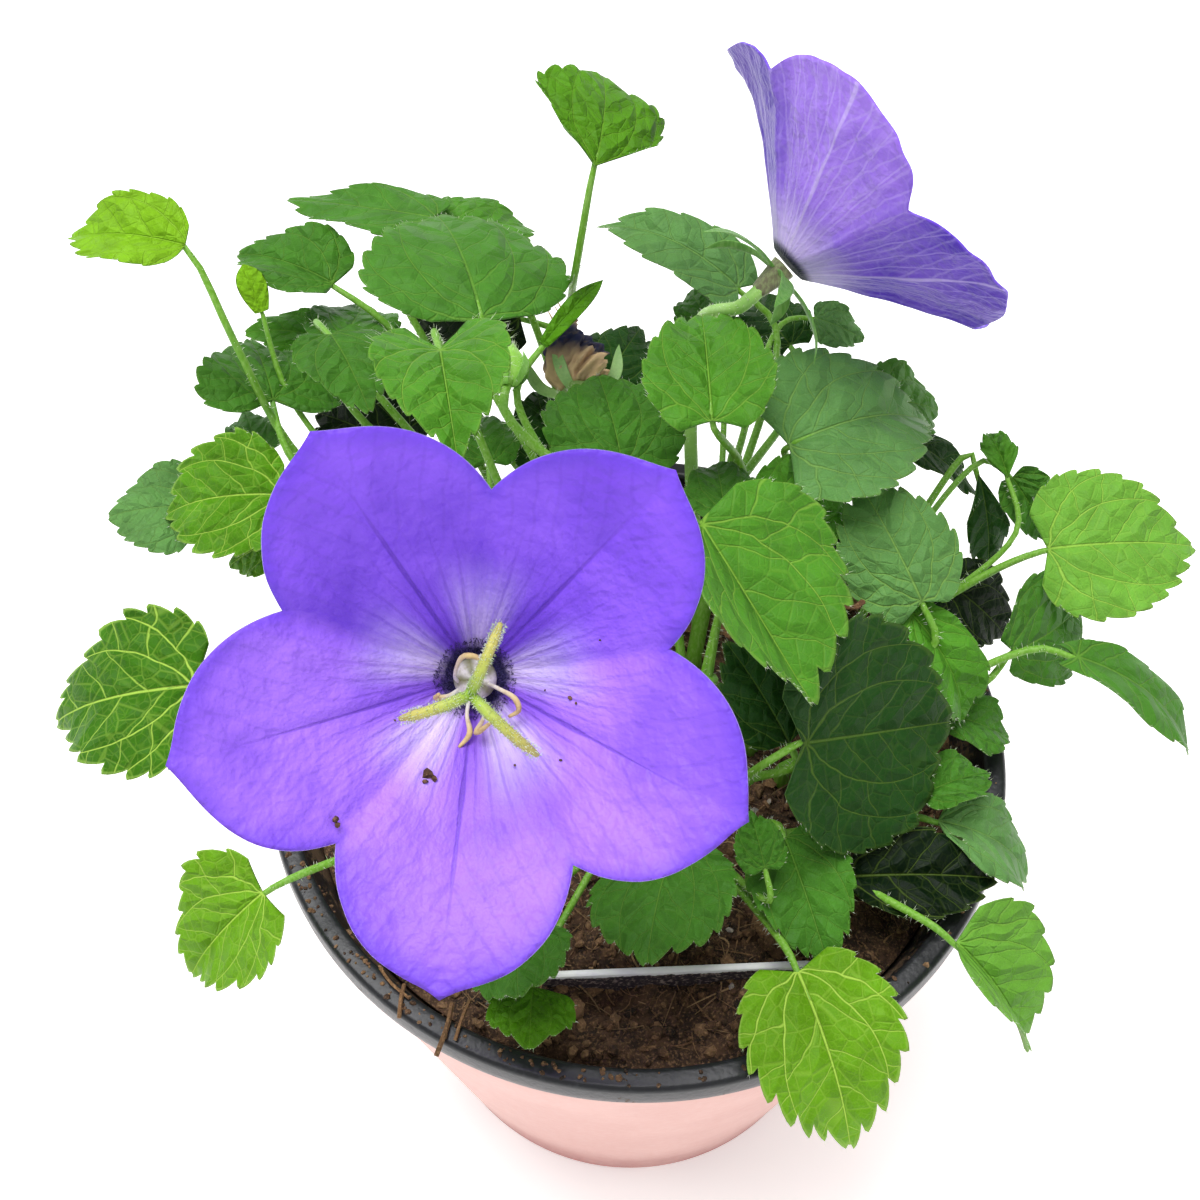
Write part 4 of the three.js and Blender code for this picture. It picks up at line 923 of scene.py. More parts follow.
def stalkMaterial():
    material, tree, shader = newMaterial("stalk")
    here = objectPlace(tree)
    stretched = tree.nodes.new("ShaderNodeMapping")
    stretched.inputs["Scale"].default_value = (1, 1, 0.15)
    feed(tree, stretched.inputs["Vector"], here)
    ribs = grain(tree, stretched.outputs[0], 2600, 2)
    patch = grain(tree, here, 160, 2)
    colour = tint(tree, ease(tree, ribs, 0.35, 0.7, 0.0, 0.22), kept(tree, "tone", True), srgb(190, 222, 140))
    colour = tint(tree, ease(tree, patch, 0.5, 0.75, 0.0, 0.4), colour, srgb(74, 132, 48))
    feed(tree, shader["Base Color"], colour)
    shader["Roughness"].default_value = 0.42
    shader["Specular IOR Level"].default_value = 0.25
    feed(tree, shader["Normal"], bumped(tree, ribs, 0.4, 0.0002))
    return material


def fuzzMaterial(name, scale, first, second):
    # Two shades parted by a fine grain
    material, tree, shader = newMaterial(name)
    patch = ease(tree, grain(tree, objectPlace(tree), scale), 0.4, 0.6)
    feed(tree, shader["Base Color"], tint(tree, patch, first, second))
    return material


# Flowers

# faces: degrees round from +x and up from level; notches: how far out the edge reaches between one
# petal and the next; lifts: how far each tip stands out of the mouth; glow: painted light, how much
# lighter each petal is drawn where the light falls on it
blooms = [
    {"name": "bloom_front", "centre": (-17.5, -40, 155), "faces": (-86, 49), "up": (0, 0.75, 0.66),
     "radius": 29, "depth": 18, "curve": 1.35, "firstTip": 48, "notches": (0.68, 0.68, 0.68, 0.68, 0.68),
     "lifts": (0, 0, 0, 0, 0), "glow": (0.06, 0.04, 0.58, 0.68, 0.62), "root": (-8, -3),
     "knee": (-11, -10, 112)},
    {"name": "bloom_back", "centre": (31.3, 48.3, 145), "faces": (32, 29), "up": (0, -0.6, 0.8),
     "radius": 26.5, "depth": 15, "curve": 1.3, "firstTip": 72, "notches": (0.8, 0.85, 0.75, 0.7, 0.85),
     "lifts": (1, 0, 1, 0, -2), "glow": (0.75, 0.2, 0, 0.2, 0.2), "root": (10, 21), "knee": (8.6, 46, 121)},
]

bloomForm = {
    "petals": 5, "columns": 240, "rings": 36, "thick": 0.34, "solid": 0.75,
    "curve": 2, "point": 0.15, "pointSpread": 0.12, "throat": 0.11, "lead": 2.5,
    "ovary": 4.8, "ovaryRadius": 1.8, "sepalLong": 11, "sepalWide": 2.8, "stem": 0.95, "gap": 0.3,
    "sepal": ((-0.09, 1.2), (0.35, 1.6), (0.75, 3.4), (0.95, 5.6)),
}

pistilForm = {
    "dome": ((2.3, 0), (2.25, 0.6), (1.9, 1.3), (1.1, 1.8), (0.3, 1.95)),
    "styleRadius": 0.6, "styleLong": 14,
    "arms": ((67, 7.4), (199, 7.2), (317, 8.8)),
    "arm": ((-0.04, -1), (0.3, 1), (0.7, 0.9), (1, -0.8)),
    "armRadius": [[0, 0.5], [0.25, 0.6], [0.8, 0.52], [1, 0.28]],
    "stamens": (
        ((-1.6, -0.4, 0.8), (-2.0, 0.6, 2.6), (-1.0, 2.8, 4.4), (0.4, 2.6, 4.2), (0.7, 1.4, 3.2)),
        ((-1.4, -0.9, 0.7), (-2.8, -1.6, 2.0), (-4.0, -1.7, 2.6), (-3.6, -1.2, 3.4)),
        ((1.2, -0.4, 0.8), (2.6, -0.7, 3.6), (4.2, -1.6, 4.4), (4.6, -2.8, 4.2), (3.6, -3.6, 3.4)),
        ((-0.5, -1.6, 0.8), (-0.8, -3.6, 2.2), (-0.5, -5.4, 3.0), (-1.6, -6.8, 3.2)),
        ((0.4, -1.5, 0.8), (1.0, -3.6, 3.0), (0.2, -5.2, 3.6), (1.9, -3.9, 4.6)),
    ),
    "stamenRadius": [[0, 0.2], [0.45, 0.22], [0.7, 0.34], [1, 0.18]],
    "fuzz": {"radius": 0.62, "count": 420, "long": 0.34, "start": 0.12},
}

throatForm = {"count": 900, "reach": (0.085, 0.15), "lean": 0.4, "scatter": 0.35, "long": (0.4, 0.9),
              "thick": 0.05}


def bloomAxes(bloom):
    # A bloom's own axes: x and y across the mouth, z out of it
    turn, rise = np.radians(bloom["faces"])
    axis = np.array([math.cos(rise) * math.cos(turn), math.cos(rise) * math.sin(turn), math.sin(rise)])
    across = unit(np.cross(bloom["up"], axis))
    return np.array([across, np.cross(axis, across), axis])


def bloomPlace(bloom):
    # Own coordinates of a bloom to the plant's: centre plus each coordinate times its axis
    axes = bloomAxes(bloom)
    centre = np.array(bloom["centre"], float)

    def place(points):
        return centre + np.asarray(points, float) @ axes
    return place, axes[2]


def petalSpot(bloom, turn):
    # 0 at the middle of a petal and 1 at the notch between two, the signed angle off the middle, and
    # the petal and the notch that the turn falls to
    petals = bloomForm["petals"]
    step = fullTurn / petals
    off = (turn - math.radians(bloom["firstTip"])) / step
    middle = np.round(off)
    notch = np.floor(off + 1e-6).astype(int) % petals
    return 2 * np.abs(off - middle), (off - middle) * step, middle.astype(int) % petals, notch


def edgeReach(bloom, turn):
    # Reach of the edge: from its notch to 1 at the petal's middle, round with a small point
    form = bloomForm
    way, _, _, notch = petalSpot(bloom, turn)
    low = np.array(bloom["notches"])[notch]
    rounded = (1 - form["point"]) * (1 - way ** form["curve"])
    return low + (1 - low) * (rounded + form["point"] * np.exp(-way / form["pointSpread"]))


def bellDepth(bloom, turn, reach):
    # Depth below the mouth: flat in the throat, opening in a power curve, each petal with its lift
    throat = bloomForm["throat"]
    way, _, petal, _ = petalSpot(bloom, turn)
    opening = np.maximum(0, 1 - np.maximum(reach, throat)) / (1 - throat)
    lift = np.array(bloom["lifts"])[petal] * (1 - way ** 2) * reach ** 3
    return lift - bloom["depth"] * opening ** bloom["curve"]


def corollaPart(bloom, seed):
    # Rings from the throat to the lobed edge on both faces: the bell's curve, a crease down each
    # petal, a fold at each notch and a quilted swell that grows outwards
    place, _ = bloomPlace(bloom)
    form = bloomForm
    turn = math.radians(bloom["firstTip"]) + turns(form["columns"])
    way, angle, petal, _ = petalSpot(bloom, turn)
    ring = np.linspace(0, 1, form["rings"] + 1)[1:] ** 0.9
    ring = ring[:, None]
    reach = np.where(ring > form["throat"],
                     form["throat"] + (ring - form["throat"]) / (1 - form["throat"])
                     * (edgeReach(bloom, turn) - form["throat"]), ring)
    x, y = bloom["radius"] * reach * np.cos(turn), bloom["radius"] * reach * np.sin(turn)
    outer = np.clip((ring - 0.15) / 0.3, 0, 1)
    relief = (-0.5 * np.exp(-(way / 0.06) ** 2) * outer * (1 - ring ** 4)
              - 0.9 * np.exp(-((1 - way) / 0.13) ** 2) * outer
              + 0.6 * outer * noiseAt(x + 90, y + 90, seed, 2.6)
              + 1.7 * ring ** 3 * noiseAt(x + 90, y + 90, seed + 1, 8.0))
    sheets = []
    for back in (0, form["thick"]):
        slope = ((bellDepth(bloom, turn, reach + 0.01) - bellDepth(bloom, turn, reach - 0.01))
                 / (0.02 * bloom["radius"]))
        steep = np.hypot(slope, 1)
        out = bloom["radius"] * reach + back * slope / steep
        along = bellDepth(bloom, turn, reach) - back / steep + relief
        sheets.append(place(ringsAt(out, turn, along)))
    rings = np.concatenate([sheets[0], sheets[1][::-1]])
    both = np.concatenate([reach, reach[::-1]])
    uv = np.stack([both * np.abs(np.sin(angle)), both * np.cos(angle)], axis=-1)
    under = np.repeat([0.0, 1.0], form["rings"])[:, None, None] * np.ones((1, form["columns"], 1))
    # Painted light: each petal's glow, eased into its neighbour's near the notches, kept on the mesh
    shine = np.array(bloom["glow"])
    near, far = shine[petal], shine[(petal + np.sign(angle).astype(int)) % form["petals"]]
    glow = near + (far - near) * np.clip(way - 0.7, 0, 0.3) / 0.6
    glow = np.broadcast_to(glow, both.shape)[..., None]
    rim = np.broadcast_to(np.concatenate([ring, ring[::-1]]), both.shape)[..., None]
    return closedSleeve(rings, uv=uv, under=under, rim=rim, glow=glow)


def petalMaterial():
    # Violet by place on the petal, u off its middle and v along it in flower radii: a dark vein down
    # the middle, finer ones fanning from the throat, pale rays round a dark throat; outside, pale veins.
    # Each petal is drawn lighter on both faces by its painted light, kept as glow
    look = {
        "violet": srgb(138, 88, 240), "deep": srgb(114, 68, 216), "light": srgb(190, 136, 255),
        "pale": srgb(236, 222, 255), "throat": srgb(38, 30, 86), "vein": srgb(84, 40, 170),
        "edge": srgb(96, 56, 214),
        "outside": srgb(82, 48, 184), "outsideLight": srgb(182, 136, 255),
        "outsideVein": srgb(222, 204, 255), "base": srgb(26, 22, 62),
    }
    material, tree, shader = newMaterial("petal")
    place, here = surfacePlace(tree), objectPlace(tree)
    make = maths(tree)
    u, v, _ = split(tree, place)
    r = make("SQRT", make("ADD", make("MULTIPLY", u, u), make("MULTIPLY", v, v)))
    off = make("DIVIDE", make("ARCTAN2", u, v), fullTurn / 10)
    wobble = make("MULTIPLY_ADD", grain(tree, here, 220, 2), 0.1, -0.05)
    bent = make("ADD", off, wobble)
    fan = None
    for middle in (0.2, 0.42, 0.66):
        away = make("MULTIPLY", make("ABSOLUTE", make("SUBTRACT", bent, middle)), r)
        line = ease(tree, away, 0.012, 0.003)
        fan = line if fan is None else make("MAXIMUM", fan, line)
    forks = make("DIVIDE", make("MULTIPLY_ADD", u, -1.35, make("ADD", v, wobble)), 0.13)
    forks = make("ABSOLUTE", make("SUBTRACT", forks, make("ROUND", forks)))
    forks = make("MULTIPLY", ease(tree, forks, 0.12, 0.03), ease(tree, r, 0.35, 0.6))
    net = ease(tree, cells(tree, here, 420), 0.09, 0.01)
    crooked = make("MULTIPLY_ADD", grain(tree, here, 180, 1), 0.016, make("SUBTRACT", u, 0.008))
    crooked = make("ABSOLUTE", crooked)
    midline = make("MULTIPLY", ease(tree, crooked, 0.009, 0.002), ease(tree, r, 0.95, 0.4))
    rays = grain(tree, joined(tree, make("MULTIPLY", off, 9.0), make("MULTIPLY", r, 1.4), 0.0), 1.0, 3)
    patch = ease(tree, grain(tree, here, 90, 3), 0.35, 0.7)
    glow = kept(tree, "glow")
    inner = tint(tree, patch, look["violet"], look["deep"])
    outwards = ease(tree, r, 1.0, 0.45, 0.45, 1.0)
    # Painted light: petals with more glow are drawn towards the light violet
    lit = make("MULTIPLY", make("MULTIPLY_ADD", patch, -0.3, glow), outwards)
    inner = tint(tree, lit, inner, look["light"])
    shadow = make("MULTIPLY", ease(tree, off, 0.3, 0.0), ease(tree, r, 0.6, 0.15))
    inner = tint(tree, make("MULTIPLY", shadow, 0.4), inner, look["deep"])
    pale = make("MULTIPLY", ease(tree, r, 0.5, 0.17), ease(tree, off, 0.15, 0.7))
    pale = make("MULTIPLY", pale, ease(tree, rays, 0.2, 0.65, 0.35, 0.95))
    # The pale rays are stronger on petals with more painted light
    pale = make("MULTIPLY", pale, make("MULTIPLY_ADD", glow, 0.4, 0.65))
    inner = tint(tree, pale, inner, look["pale"])
    faint = make("MULTIPLY", fan, ease(tree, r, 0.75, 0.2, 0.0, 0.3))
    lines = make("MAXIMUM", make("MULTIPLY", midline, 0.6), faint)
    lines = make("MAXIMUM", lines, make("MULTIPLY", forks, 0.12))
    inner = tint(tree, lines, inner, look["vein"])
    inner = tint(tree, ease(tree, kept(tree, "rim"), 0.9, 1.0, 0.0, 0.5), inner, look["edge"])
    fuzzy = make("MULTIPLY_ADD", grain(tree, here, 1500, 2), 0.05, make("ADD", r, -0.025))
    inner = tint(tree, ease(tree, fuzzy, 0.142, 0.1), inner, look["throat"])
    # Painted light on the outside face: from its shaded violet towards outsideLight by each petal's glow
    outer = tint(tree, make("MULTIPLY_ADD", patch, -0.25, glow), look["outside"], look["outsideLight"])
    ribs = make("MAXIMUM", ease(tree, crooked, 0.014, 0.003), make("MULTIPLY", fan, 0.5))
    ribs = make("MAXIMUM", ribs, make("MAXIMUM", make("MULTIPLY", forks, 0.35), make("MULTIPLY", net, 0.14)))
    outer = tint(tree, ease(tree, rays, 0.45, 0.75, 0.0, 0.22), outer, look["outsideVein"])
    outer = tint(tree, make("MULTIPLY", ribs, 0.5), outer, look["outsideVein"])
    outer = tint(tree, ease(tree, r, 0.42, 0.14, 0.0, 0.5), outer, look["pale"])
    outer = tint(tree, ease(tree, r, 0.155, 0.11), outer, look["base"])
    feed(tree, shader["Base Color"], tint(tree, kept(tree, "under"), inner, outer))
    fine = grain(tree, here, 3600, 2)
    feed(tree, shader["Roughness"], make("MULTIPLY_ADD", fine, 0.2, 0.42))
    shader["Specular IOR Level"].default_value = 0.3
    pillows = ease(tree, cells(tree, here, 520), 0.0, 0.4)
    quilt = make("MULTIPLY", pillows, ease(tree, r, 0.3, 0.7))
    ripples = grain(tree, joined(tree, make("MULTIPLY", off, 9.0), make("MULTIPLY", r, 22.0), glow), 1.0, 2)
    soft = make("MULTIPLY_ADD", ripples, 1.3, grain(tree, here, 260, 3))
    sunk = make("MULTIPLY_ADD", lines, -0.5, make("MULTIPLY", fine, 0.2))
    height = make("ADD", make("MULTIPLY_ADD", quilt, 0.35, soft), sunk)
    feed(tree, shader["Normal"], bumped(tree, height, 0.6, 0.0005))
    shader["Sheen Weight"].default_value = 0.2
    shader["Sheen Roughness"].default_value = 0.4
    return material


def pistilParts(bloom, random):
    # Style, three curved stigma arms and curled stamens over a small dome, with fuzz on the arms
    place, _ = bloomPlace(bloom)
    form = pistilForm
    down = form["fuzz"]
    low = -bloom["depth"] + bloomForm["gap"]
    fork = low + form["styleLong"]
    turn = turns(24)
    dome = np.array(form["dome"])
    middle = closedSleeve(place(ringsAt(dome[:, :1], turn, low + dome[:, 1:])))
    lobes = 0.5 + 0.5 * np.append(np.tile(np.cos(5 * turn), len(dome)), [0, 0])[:, None]
    middle["tone"] = blended(srgb(126, 128, 84), srgb(236, 232, 222), lobes)
    green, cream = srgb(146, 190, 62), srgb(196, 190, 96)
    style = [middle, painted(rod(place([(0, 0, low + 1), (0, 0, fork)]), form["styleRadius"], 10, 8), green)]
    fuzz = []
    for degrees, long in form["arms"]:
        x, y = long * math.cos(math.radians(degrees)), long * math.sin(math.radians(degrees))
        path = place([(out * x, out * y, fork + up) for out, up in form["arm"]])
        arm = rod(path, form["armRadius"], 10, 24)
        arm["tone"] = blended(green, cream, np.clip(arm["uv"][:, :1] * 1.6 - 0.1, 0, 1))
        style.append(arm)
        fuzz.append(hairsOnRod(path, down["radius"], down["count"], down["long"], random, down["start"]))
    stamens = []
    for line in form["stamens"]:
        stamen = rod(place([(x, y, low + up) for x, y, up in line]), form["stamenRadius"], 7, 22)
        white = np.clip(1.5 - 2.2 * stamen["uv"][:, :1], 0, 1)
        stamen["tone"] = blended(srgb(222, 196, 132), srgb(232, 228, 218), white)
        stamens.append(stamen)
    return style, stamens, fuzz


def throatHairs(bloom, random):
    # Dark hairs standing in a ring round the throat
    place, axis = bloomPlace(bloom)
    form = throatForm
    count = form["count"]
    turn, reach = random.uniform(0, fullTurn, count), random.uniform(*form["reach"], count)
    roots = place(ringsAt(bloom["radius"] * reach, turn, bellDepth(bloom, turn, reach)))
    inwards = form["lean"] * unit(roots - place([0, 0, -bloom["depth"]]))
    ways = axis + random.normal(0, form["scatter"], (count, 3)) - inwards
    return hairs(roots, ways, random.uniform(*form["long"], count), form["thick"])


def bloomStemParts(bloom, random):
    # The stalk rises to a ribbed ovary under the petals, from which the sepals bend back
    place, axis = bloomPlace(bloom)
    form = bloomForm
    top = -bloom["depth"] - form["solid"] - form["gap"]
    low = top - form["ovary"]
    x, y = bloom["root"]
    ground = soilHeight(x, y)
    path = [(x, y, ground - leafForm["soilDepth"]), (x, y, ground + 1), bloom["knee"],
            *place([(0, 0, low - form["lead"]), (0, 0, low + 1)])]
    turn = turns(30)
    rise = np.linspace(0, 1, 12)[:, None]
    ribbed = 1 + 0.07 * np.cos(form["petals"] * turn)
    swell = (form["stem"] + (form["ovaryRadius"] - form["stem"]) * rise ** 0.7) * ribbed
    ovary = closedSleeve(place(ringsAt(swell, turn, low + form["ovary"] * rise)))
    stalk = rod(path, [[0, 1.1], [0.9, form["stem"]], [1, form["stem"]]], 12, 70)
    parts = [painted(stalk, tones["stem"]), painted(ovary, srgb(112, 108, 84))]
    for i in range(form["petals"]):
        way = math.radians(bloom["firstTip"]) + fullTurn * (i + 0.5) / form["petals"]
        out, back = np.transpose(form["sepal"])
        line = place(ringsAt(form["ovaryRadius"] + out * form["sepalLong"], way, top - back))
        parts.append(painted(lancePart(line, form["sepalWide"], axis, 16, 0.35), srgb(96, 150, 66)))
    return parts, [hairsOnRod(path, form["stem"], 500, 0.6, random, 0.1)]


def flowerMaterial(name, rough=0.5, scale=2200, dark=srgb(120, 110, 50)):
    # Kept colour with a fine streaked grain
    material, tree, shader = newMaterial(name)
    here = objectPlace(tree)
    fine = grain(tree, here, scale, 3)
    streaks = ease(tree, fine, 0.45, 0.75, 0.0, 0.4)
    feed(tree, shader["Base Color"], tint(tree, streaks, kept(tree, "tone", True), dark))
    shader["Roughness"].default_value = rough
    feed(tree, shader["Normal"], bumped(tree, fine, 0.5, 0.0002))
    return material


# Withered flower, its calyx and the young bud

witheredForm = {
    "at": (578, 388, 110), "tip": (565, 318), "long": 13, "wide": 8.6, "face": 0.5,
    "width": [[0, 0.5], [0.15, 0.9], [0.4, 1], [0.62, 0.75], [0.82, 0.4], [1, 0.15]], "twist": 2.4,
    "threads": 9,
    "calyx": ((0, 1.1), (1, 1.7), (2.5, 2.2), (4, 2.4)), "calyxBelow": 4.3,
    "sepal": ((1, 2.6), (5.4, 5), (7.3, 11)), "sepalWide": 2,
    "sepalWays": ((1, 0.0), (-1, 0.0), (0.35, 0.5), (-0.3, -0.5)),
}

budForm = {
    "at": (508, 386, 124), "tip": (513, 344), "long": 6.5, "wide": 4.4, "face": 0.5, "stalk": 0.7,
    "profile": [[0, 0.05], [0.04, 0.62], [0.25, 0.95], [0.45, 1], [0.7, 0.72], [0.9, 0.3], [1, 0.04]],
    "sepal": ((-0.2, 1.0), (1.8, 2.35), (3.6, 2.5), (5.0, 1.9)), "sepalWide": 1.7,
}


def stoodRings(axes, at, radius, sides, spin=0.0, ribs=0.0):
    # Rings round a spot's own axis at given lengths, with five ribs as a cosine round the turn
    turn = turns(sides)
    at, radius = np.asarray(at, float)[:, None], np.asarray(radius, float)[:, None]
    out = radius * (1 + ribs * np.cos(5 * turn))
    swung = turn + spin * at / np.max(np.abs(at))
    return inBlade(axes, np.stack([at * np.ones(sides), out * np.cos(swung), out * np.sin(swung)], axis=-1))


def witheredParts(random):
    # A twisted, crumpled bundle: three ribs, folds from noise over turn and length, frayed threads
    form = witheredForm
    axes = bladeAxes(form)
    turn = turns(72)
    rise = np.linspace(0, 1, 46)[:, None]
    crumple = lambda seed, across, along: noiseAt(turn * across + 60, rise * along + 60, seed, 1.0)
    seam = np.sin(turn / 2) ** 0.5
    folds = 0.9 * crumple(5, 5, 9) * seam + 0.35 * crumple(6, 9, 20) * seam
    wide = form["wide"] / 2 * np.interp(rise, *np.transpose(form["width"]))
    out = wide * (1 + 0.2 * np.cos(3 * turn) + folds)
    spin = turn + form["twist"] * rise
    along = form["long"] * rise * np.ones(len(turn))
    rings = inBlade(axes, np.stack([along, out * np.cos(spin), out * np.sin(spin)], axis=-1))
    straw, navy = srgb(214, 182, 138), srgb(22, 28, 66)
    bruise = np.exp(-((rise - 0.56) / 0.24) ** 4) * (1.1 + 0.6 * crumple(8, 4, 9))
    shade = np.clip(0.85 + 0.9 * folds, 0.3, 1.25)[..., None]
    parts = [closedSleeve(rings, tone=blended(straw, navy, np.clip(bruise, 0, 1)[..., None]) * shade)]
    for _ in range(form["threads"]):
        start = inBlade(axes, [form["long"] * 0.86, *random.uniform(-1.6, 1.6, 2)])
        ways = axes["along"] + random.normal(0, 0.35, 3)
        path = [start, start + 2 * ways, start + 3.4 * ways + random.normal(0, 0.6, 3)]
        parts.append(painted(rod(path, [[0, 0.28], [1, 0.08]], 5, 8), straw * random.uniform(0.7, 1.1)))
    return parts


def calyxParts(shootTop, random):
    # The cup below the withered flower with four sepals, on its stalk from the shoot
    form = witheredForm
    axes = bladeAxes(form)
    up = lambda z: inBlade(axes, [z - form["calyxBelow"], 0, 0])
    heights, wide = np.transpose(form["calyx"])
    cup = closedSleeve(stoodRings(axes, heights - form["calyxBelow"], wide, 20, 0, 0.08))
    stalk = rod([shootTop, up(-4), up(1.2)], budForm["stalk"], 8, 14)
    parts = [painted(cup, srgb(128, 158, 88)), painted(stalk, tones["stalk"])]
    for side, over in form["sepalWays"]:
        line = [up(z) + side * out * axes["across"] + over * out * axes["normal"] for out, z in form["sepal"]]
        sepal = lancePart(line, form["sepalWide"], axes["normal"], 12, 0.3)
        parts.append(painted(sepal, srgb(142, 182, 110)))
    return parts, [hairsOnRod([shootTop, up(-4), up(0)], budForm["stalk"], 90, 0.8, random)]


def budParts(shootTop, random):
    # An egg with a smoothed profile inside five sepals, on its stalk from the shoot
    form = budForm
    axes = bladeAxes(form)
    fine = np.linspace(0, 1, 22)
    out = np.interp(fine, *np.transpose(form["profile"]))
    out = np.convolve(np.pad(out, 1, "edge"), [0.25, 0.5, 0.25], "valid") * form["wide"] / 2
    egg = closedSleeve(stoodRings(axes, fine * form["long"], out, 30, 0.5, 0.06))
    route = [shootTop, inBlade(axes, [-4, 0, 0]), inBlade(axes, [1.2, 0, 0])]
    parts = [painted(egg, srgb(140, 196, 74)), painted(rod(route, form["stalk"], 8, 14), tones["stalk"])]
    for way in turns(5):
        line = [inBlade(axes, [z, far * math.cos(way), far * math.sin(way)]) for z, far in form["sepal"]]
        outwards = unit(line[1] - inBlade(axes, [2.4, 0, 0]))
        sepal = lancePart(line, form["sepalWide"], outwards, 10, 0.25, 0.1)
        parts.append(painted(sepal, srgb(118, 180, 66)))
    roots = stoodRings(axes, fine * form["long"], out, 30).reshape(-1, 3)
    pick = random.integers(60, len(roots), 110)
    ways = roots[pick] - inBlade(axes, [form["long"] * 0.45, 0, 0])
    down = [hairs(roots[pick], ways, 0.8, 0.035), hairsOnRod(route, form["stalk"], 120, 1.0, random)]
    return parts, down


# Mix, crumbs and fibres

mixForm = {
    "bottom": 3.6, "edge": 77.9, "rings": 84, "columns": 252,
    "crumbs": 3000, "fibres": 1500, "chips": 60, "beads": 60, "lipCrumbs": 460,
    "browns": ((70, 50, 36), (120, 90, 62), (34, 25, 19), (158, 124, 88)),
    "straws": ((164, 128, 88), (116, 86, 58), (196, 162, 118), (60, 42, 30)),
    "inside": 46.5, "lipReach": 50.9, "wallReach": 49.15,
}

potForm = {
    "height": 86.5, "lipRadius": 52.5, "lipDepth": 4.4, "lipWidth": 3.2, "lipRound": 0.9,
    "growTop": 49.2, "growBase": 31.2, "growWall": 1.2, "growFloor": 1.4,
    "coverTop": 51.4, "coverBase": 34.6, "coverWall": 1.5, "coverFloor": 1.6, "heel": 3.4, "gap": 0.3,
    "drains": 4, "drainRadius": 4, "drainRing": 20, "sides": 192,
}


def mixWall(z):
    form = potForm
    slope = (form["growTop"] - form["growBase"]) / (form["height"] - form["lipDepth"] - mixForm["bottom"])
    return form["growBase"] - form["growWall"] - form["gap"] + slope * (z - mixForm["bottom"])


def mixTop(x, y):
    # The mound of the mix with clods, crumbs and grit from noise at four sizes
    rough = (2.6 * noiseAt(x + 200, y + 200, 11, 6.5) + 2.0 * np.abs(noiseAt(x + 200, y + 200, 12, 2.4))
             + 0.9 * noiseAt(x + 200, y + 200, 13, 1.0) + 0.4 * noiseAt(x + 200, y + 200, 14, 0.5))
    return soilHeight(x, y) + rough - 0.4


def mixPart():
    # Rings drawn in from the wall to the middle; near the wall the top settles to an even height
    form = mixForm
    turn = turns(form["columns"])
    rim = mixWall(form["edge"])
    out = rim * (1 - np.linspace(0, 0.985, form["rings"])[:, None] ** 1.1)
    settle = np.clip((rim - out) / 2.0, 0, 1)
    height = form["edge"] * (1 - settle) + mixTop(out * np.cos(turn), out * np.sin(turn)) * settle
    low = ringsAt(mixWall(form["bottom"]), turn, form["bottom"])
    return painted(closedSleeve(np.concatenate([low[None], ringsAt(out, turn, height)])), srgb(58, 42, 30))


def lumps(centres, size, tone, random, flat=None):
    # Many small stones: the twelve corners of an icosahedron, jittered, stretched and turned
    g = (1 + 5 ** 0.5) / 2
    corners = [(-1, g, 0), (1, g, 0), (-1, -g, 0), (1, -g, 0), (0, -1, g), (0, 1, g), (0, -1, -g), (0, 1, -g),
               (g, 0, -1), (g, 0, 1), (-g, 0, -1), (-g, 0, 1)]
    sides = [(0, 11, 5), (0, 5, 1), (0, 1, 7), (0, 7, 10), (0, 10, 11), (1, 5, 9), (5, 11, 4),
             (11, 10, 2), (10, 7, 6), (7, 1, 8), (3, 9, 4), (3, 4, 2), (3, 2, 6), (3, 6, 8),
             (3, 8, 9), (4, 9, 5), (2, 4, 11), (6, 2, 10), (8, 6, 7), (9, 8, 1)]
    count = len(centres)
    stretch = random.uniform(0.6, 1.3, (count, 1, 3)) * (np.ones(3) if flat is None else np.asarray(flat))
    size = np.broadcast_to(size, count)[:, None, None]
    shape = unit(np.array(corners, float))[None] * stretch * random.uniform(0.75, 1.2, (count, 12, 1)) * size
    first, second, third = (random.uniform(0, fullTurn, count) for _ in range(3))
    second = second * (1.0 if flat is None else 0.08)
    c, s = np.cos, np.sin
    zero, one = np.zeros(count), np.ones(count)
    matrix = lambda *values: np.stack(values, axis=1).reshape(-1, 3, 3)
    roundZ = lambda a: matrix(c(a), -s(a), zero, s(a), c(a), zero, zero, zero, one)
    roundX = matrix(one, zero, zero, zero, c(second), -s(second), zero, s(second), c(second))
    shape = np.einsum("nij,njk,nkl,nml->nmi", roundZ(first), roundX, roundZ(third), shape)
    faces = repeated(np.hstack([sides, np.full((len(sides), 1), -1)]), count, len(corners))
    points = (shape + centres[:, None]).reshape(-1, 3)
    return part(points, faces, tone=np.repeat(tone, len(corners), axis=0))


def threads(starts, ends, sag, radius, random, tone):
    # Many bent threads, each a three-sided tube of six rings along a parabola between two points
    t = np.linspace(0, 1, 6)
    way = ends - starts
    side = unit(np.cross(way, random.normal(0, 1, way.shape)))
    bow = (4 * t * (1 - t))[None, :, None] * (side * sag[:, None])[:, None]
    path = starts[:, None] + t[None, :, None] * way[:, None] + bow
    along = unit(np.gradient(path, axis=1))
    over = unit(np.cross(along, side[:, None] + 0.01))
    square = np.cross(over, along)
    turn = turns(3)[None, None, :, None]
    thick = radius[:, None, None, None] * (1 - 0.6 * t)[None, :, None, None]
    rings = path[:, :, None] + thick * (np.cos(turn) * over[:, :, None] + np.sin(turn) * square[:, :, None])
    one = np.vstack([gridFaces(6, 3, True), [[0, 2, 1, -1], [15, 16, 17, -1]]])
    faces = repeated(one, len(starts), 18)
    return outward(part(rings.reshape(-1, 3), faces, tone=np.repeat(tone, 18, axis=0)))


def scattered(count, random, reach=46):
    out, turn = reach * np.sqrt(random.random(count)), random.uniform(0, fullTurn, count)
    return out * np.cos(turn), out * np.sin(turn)


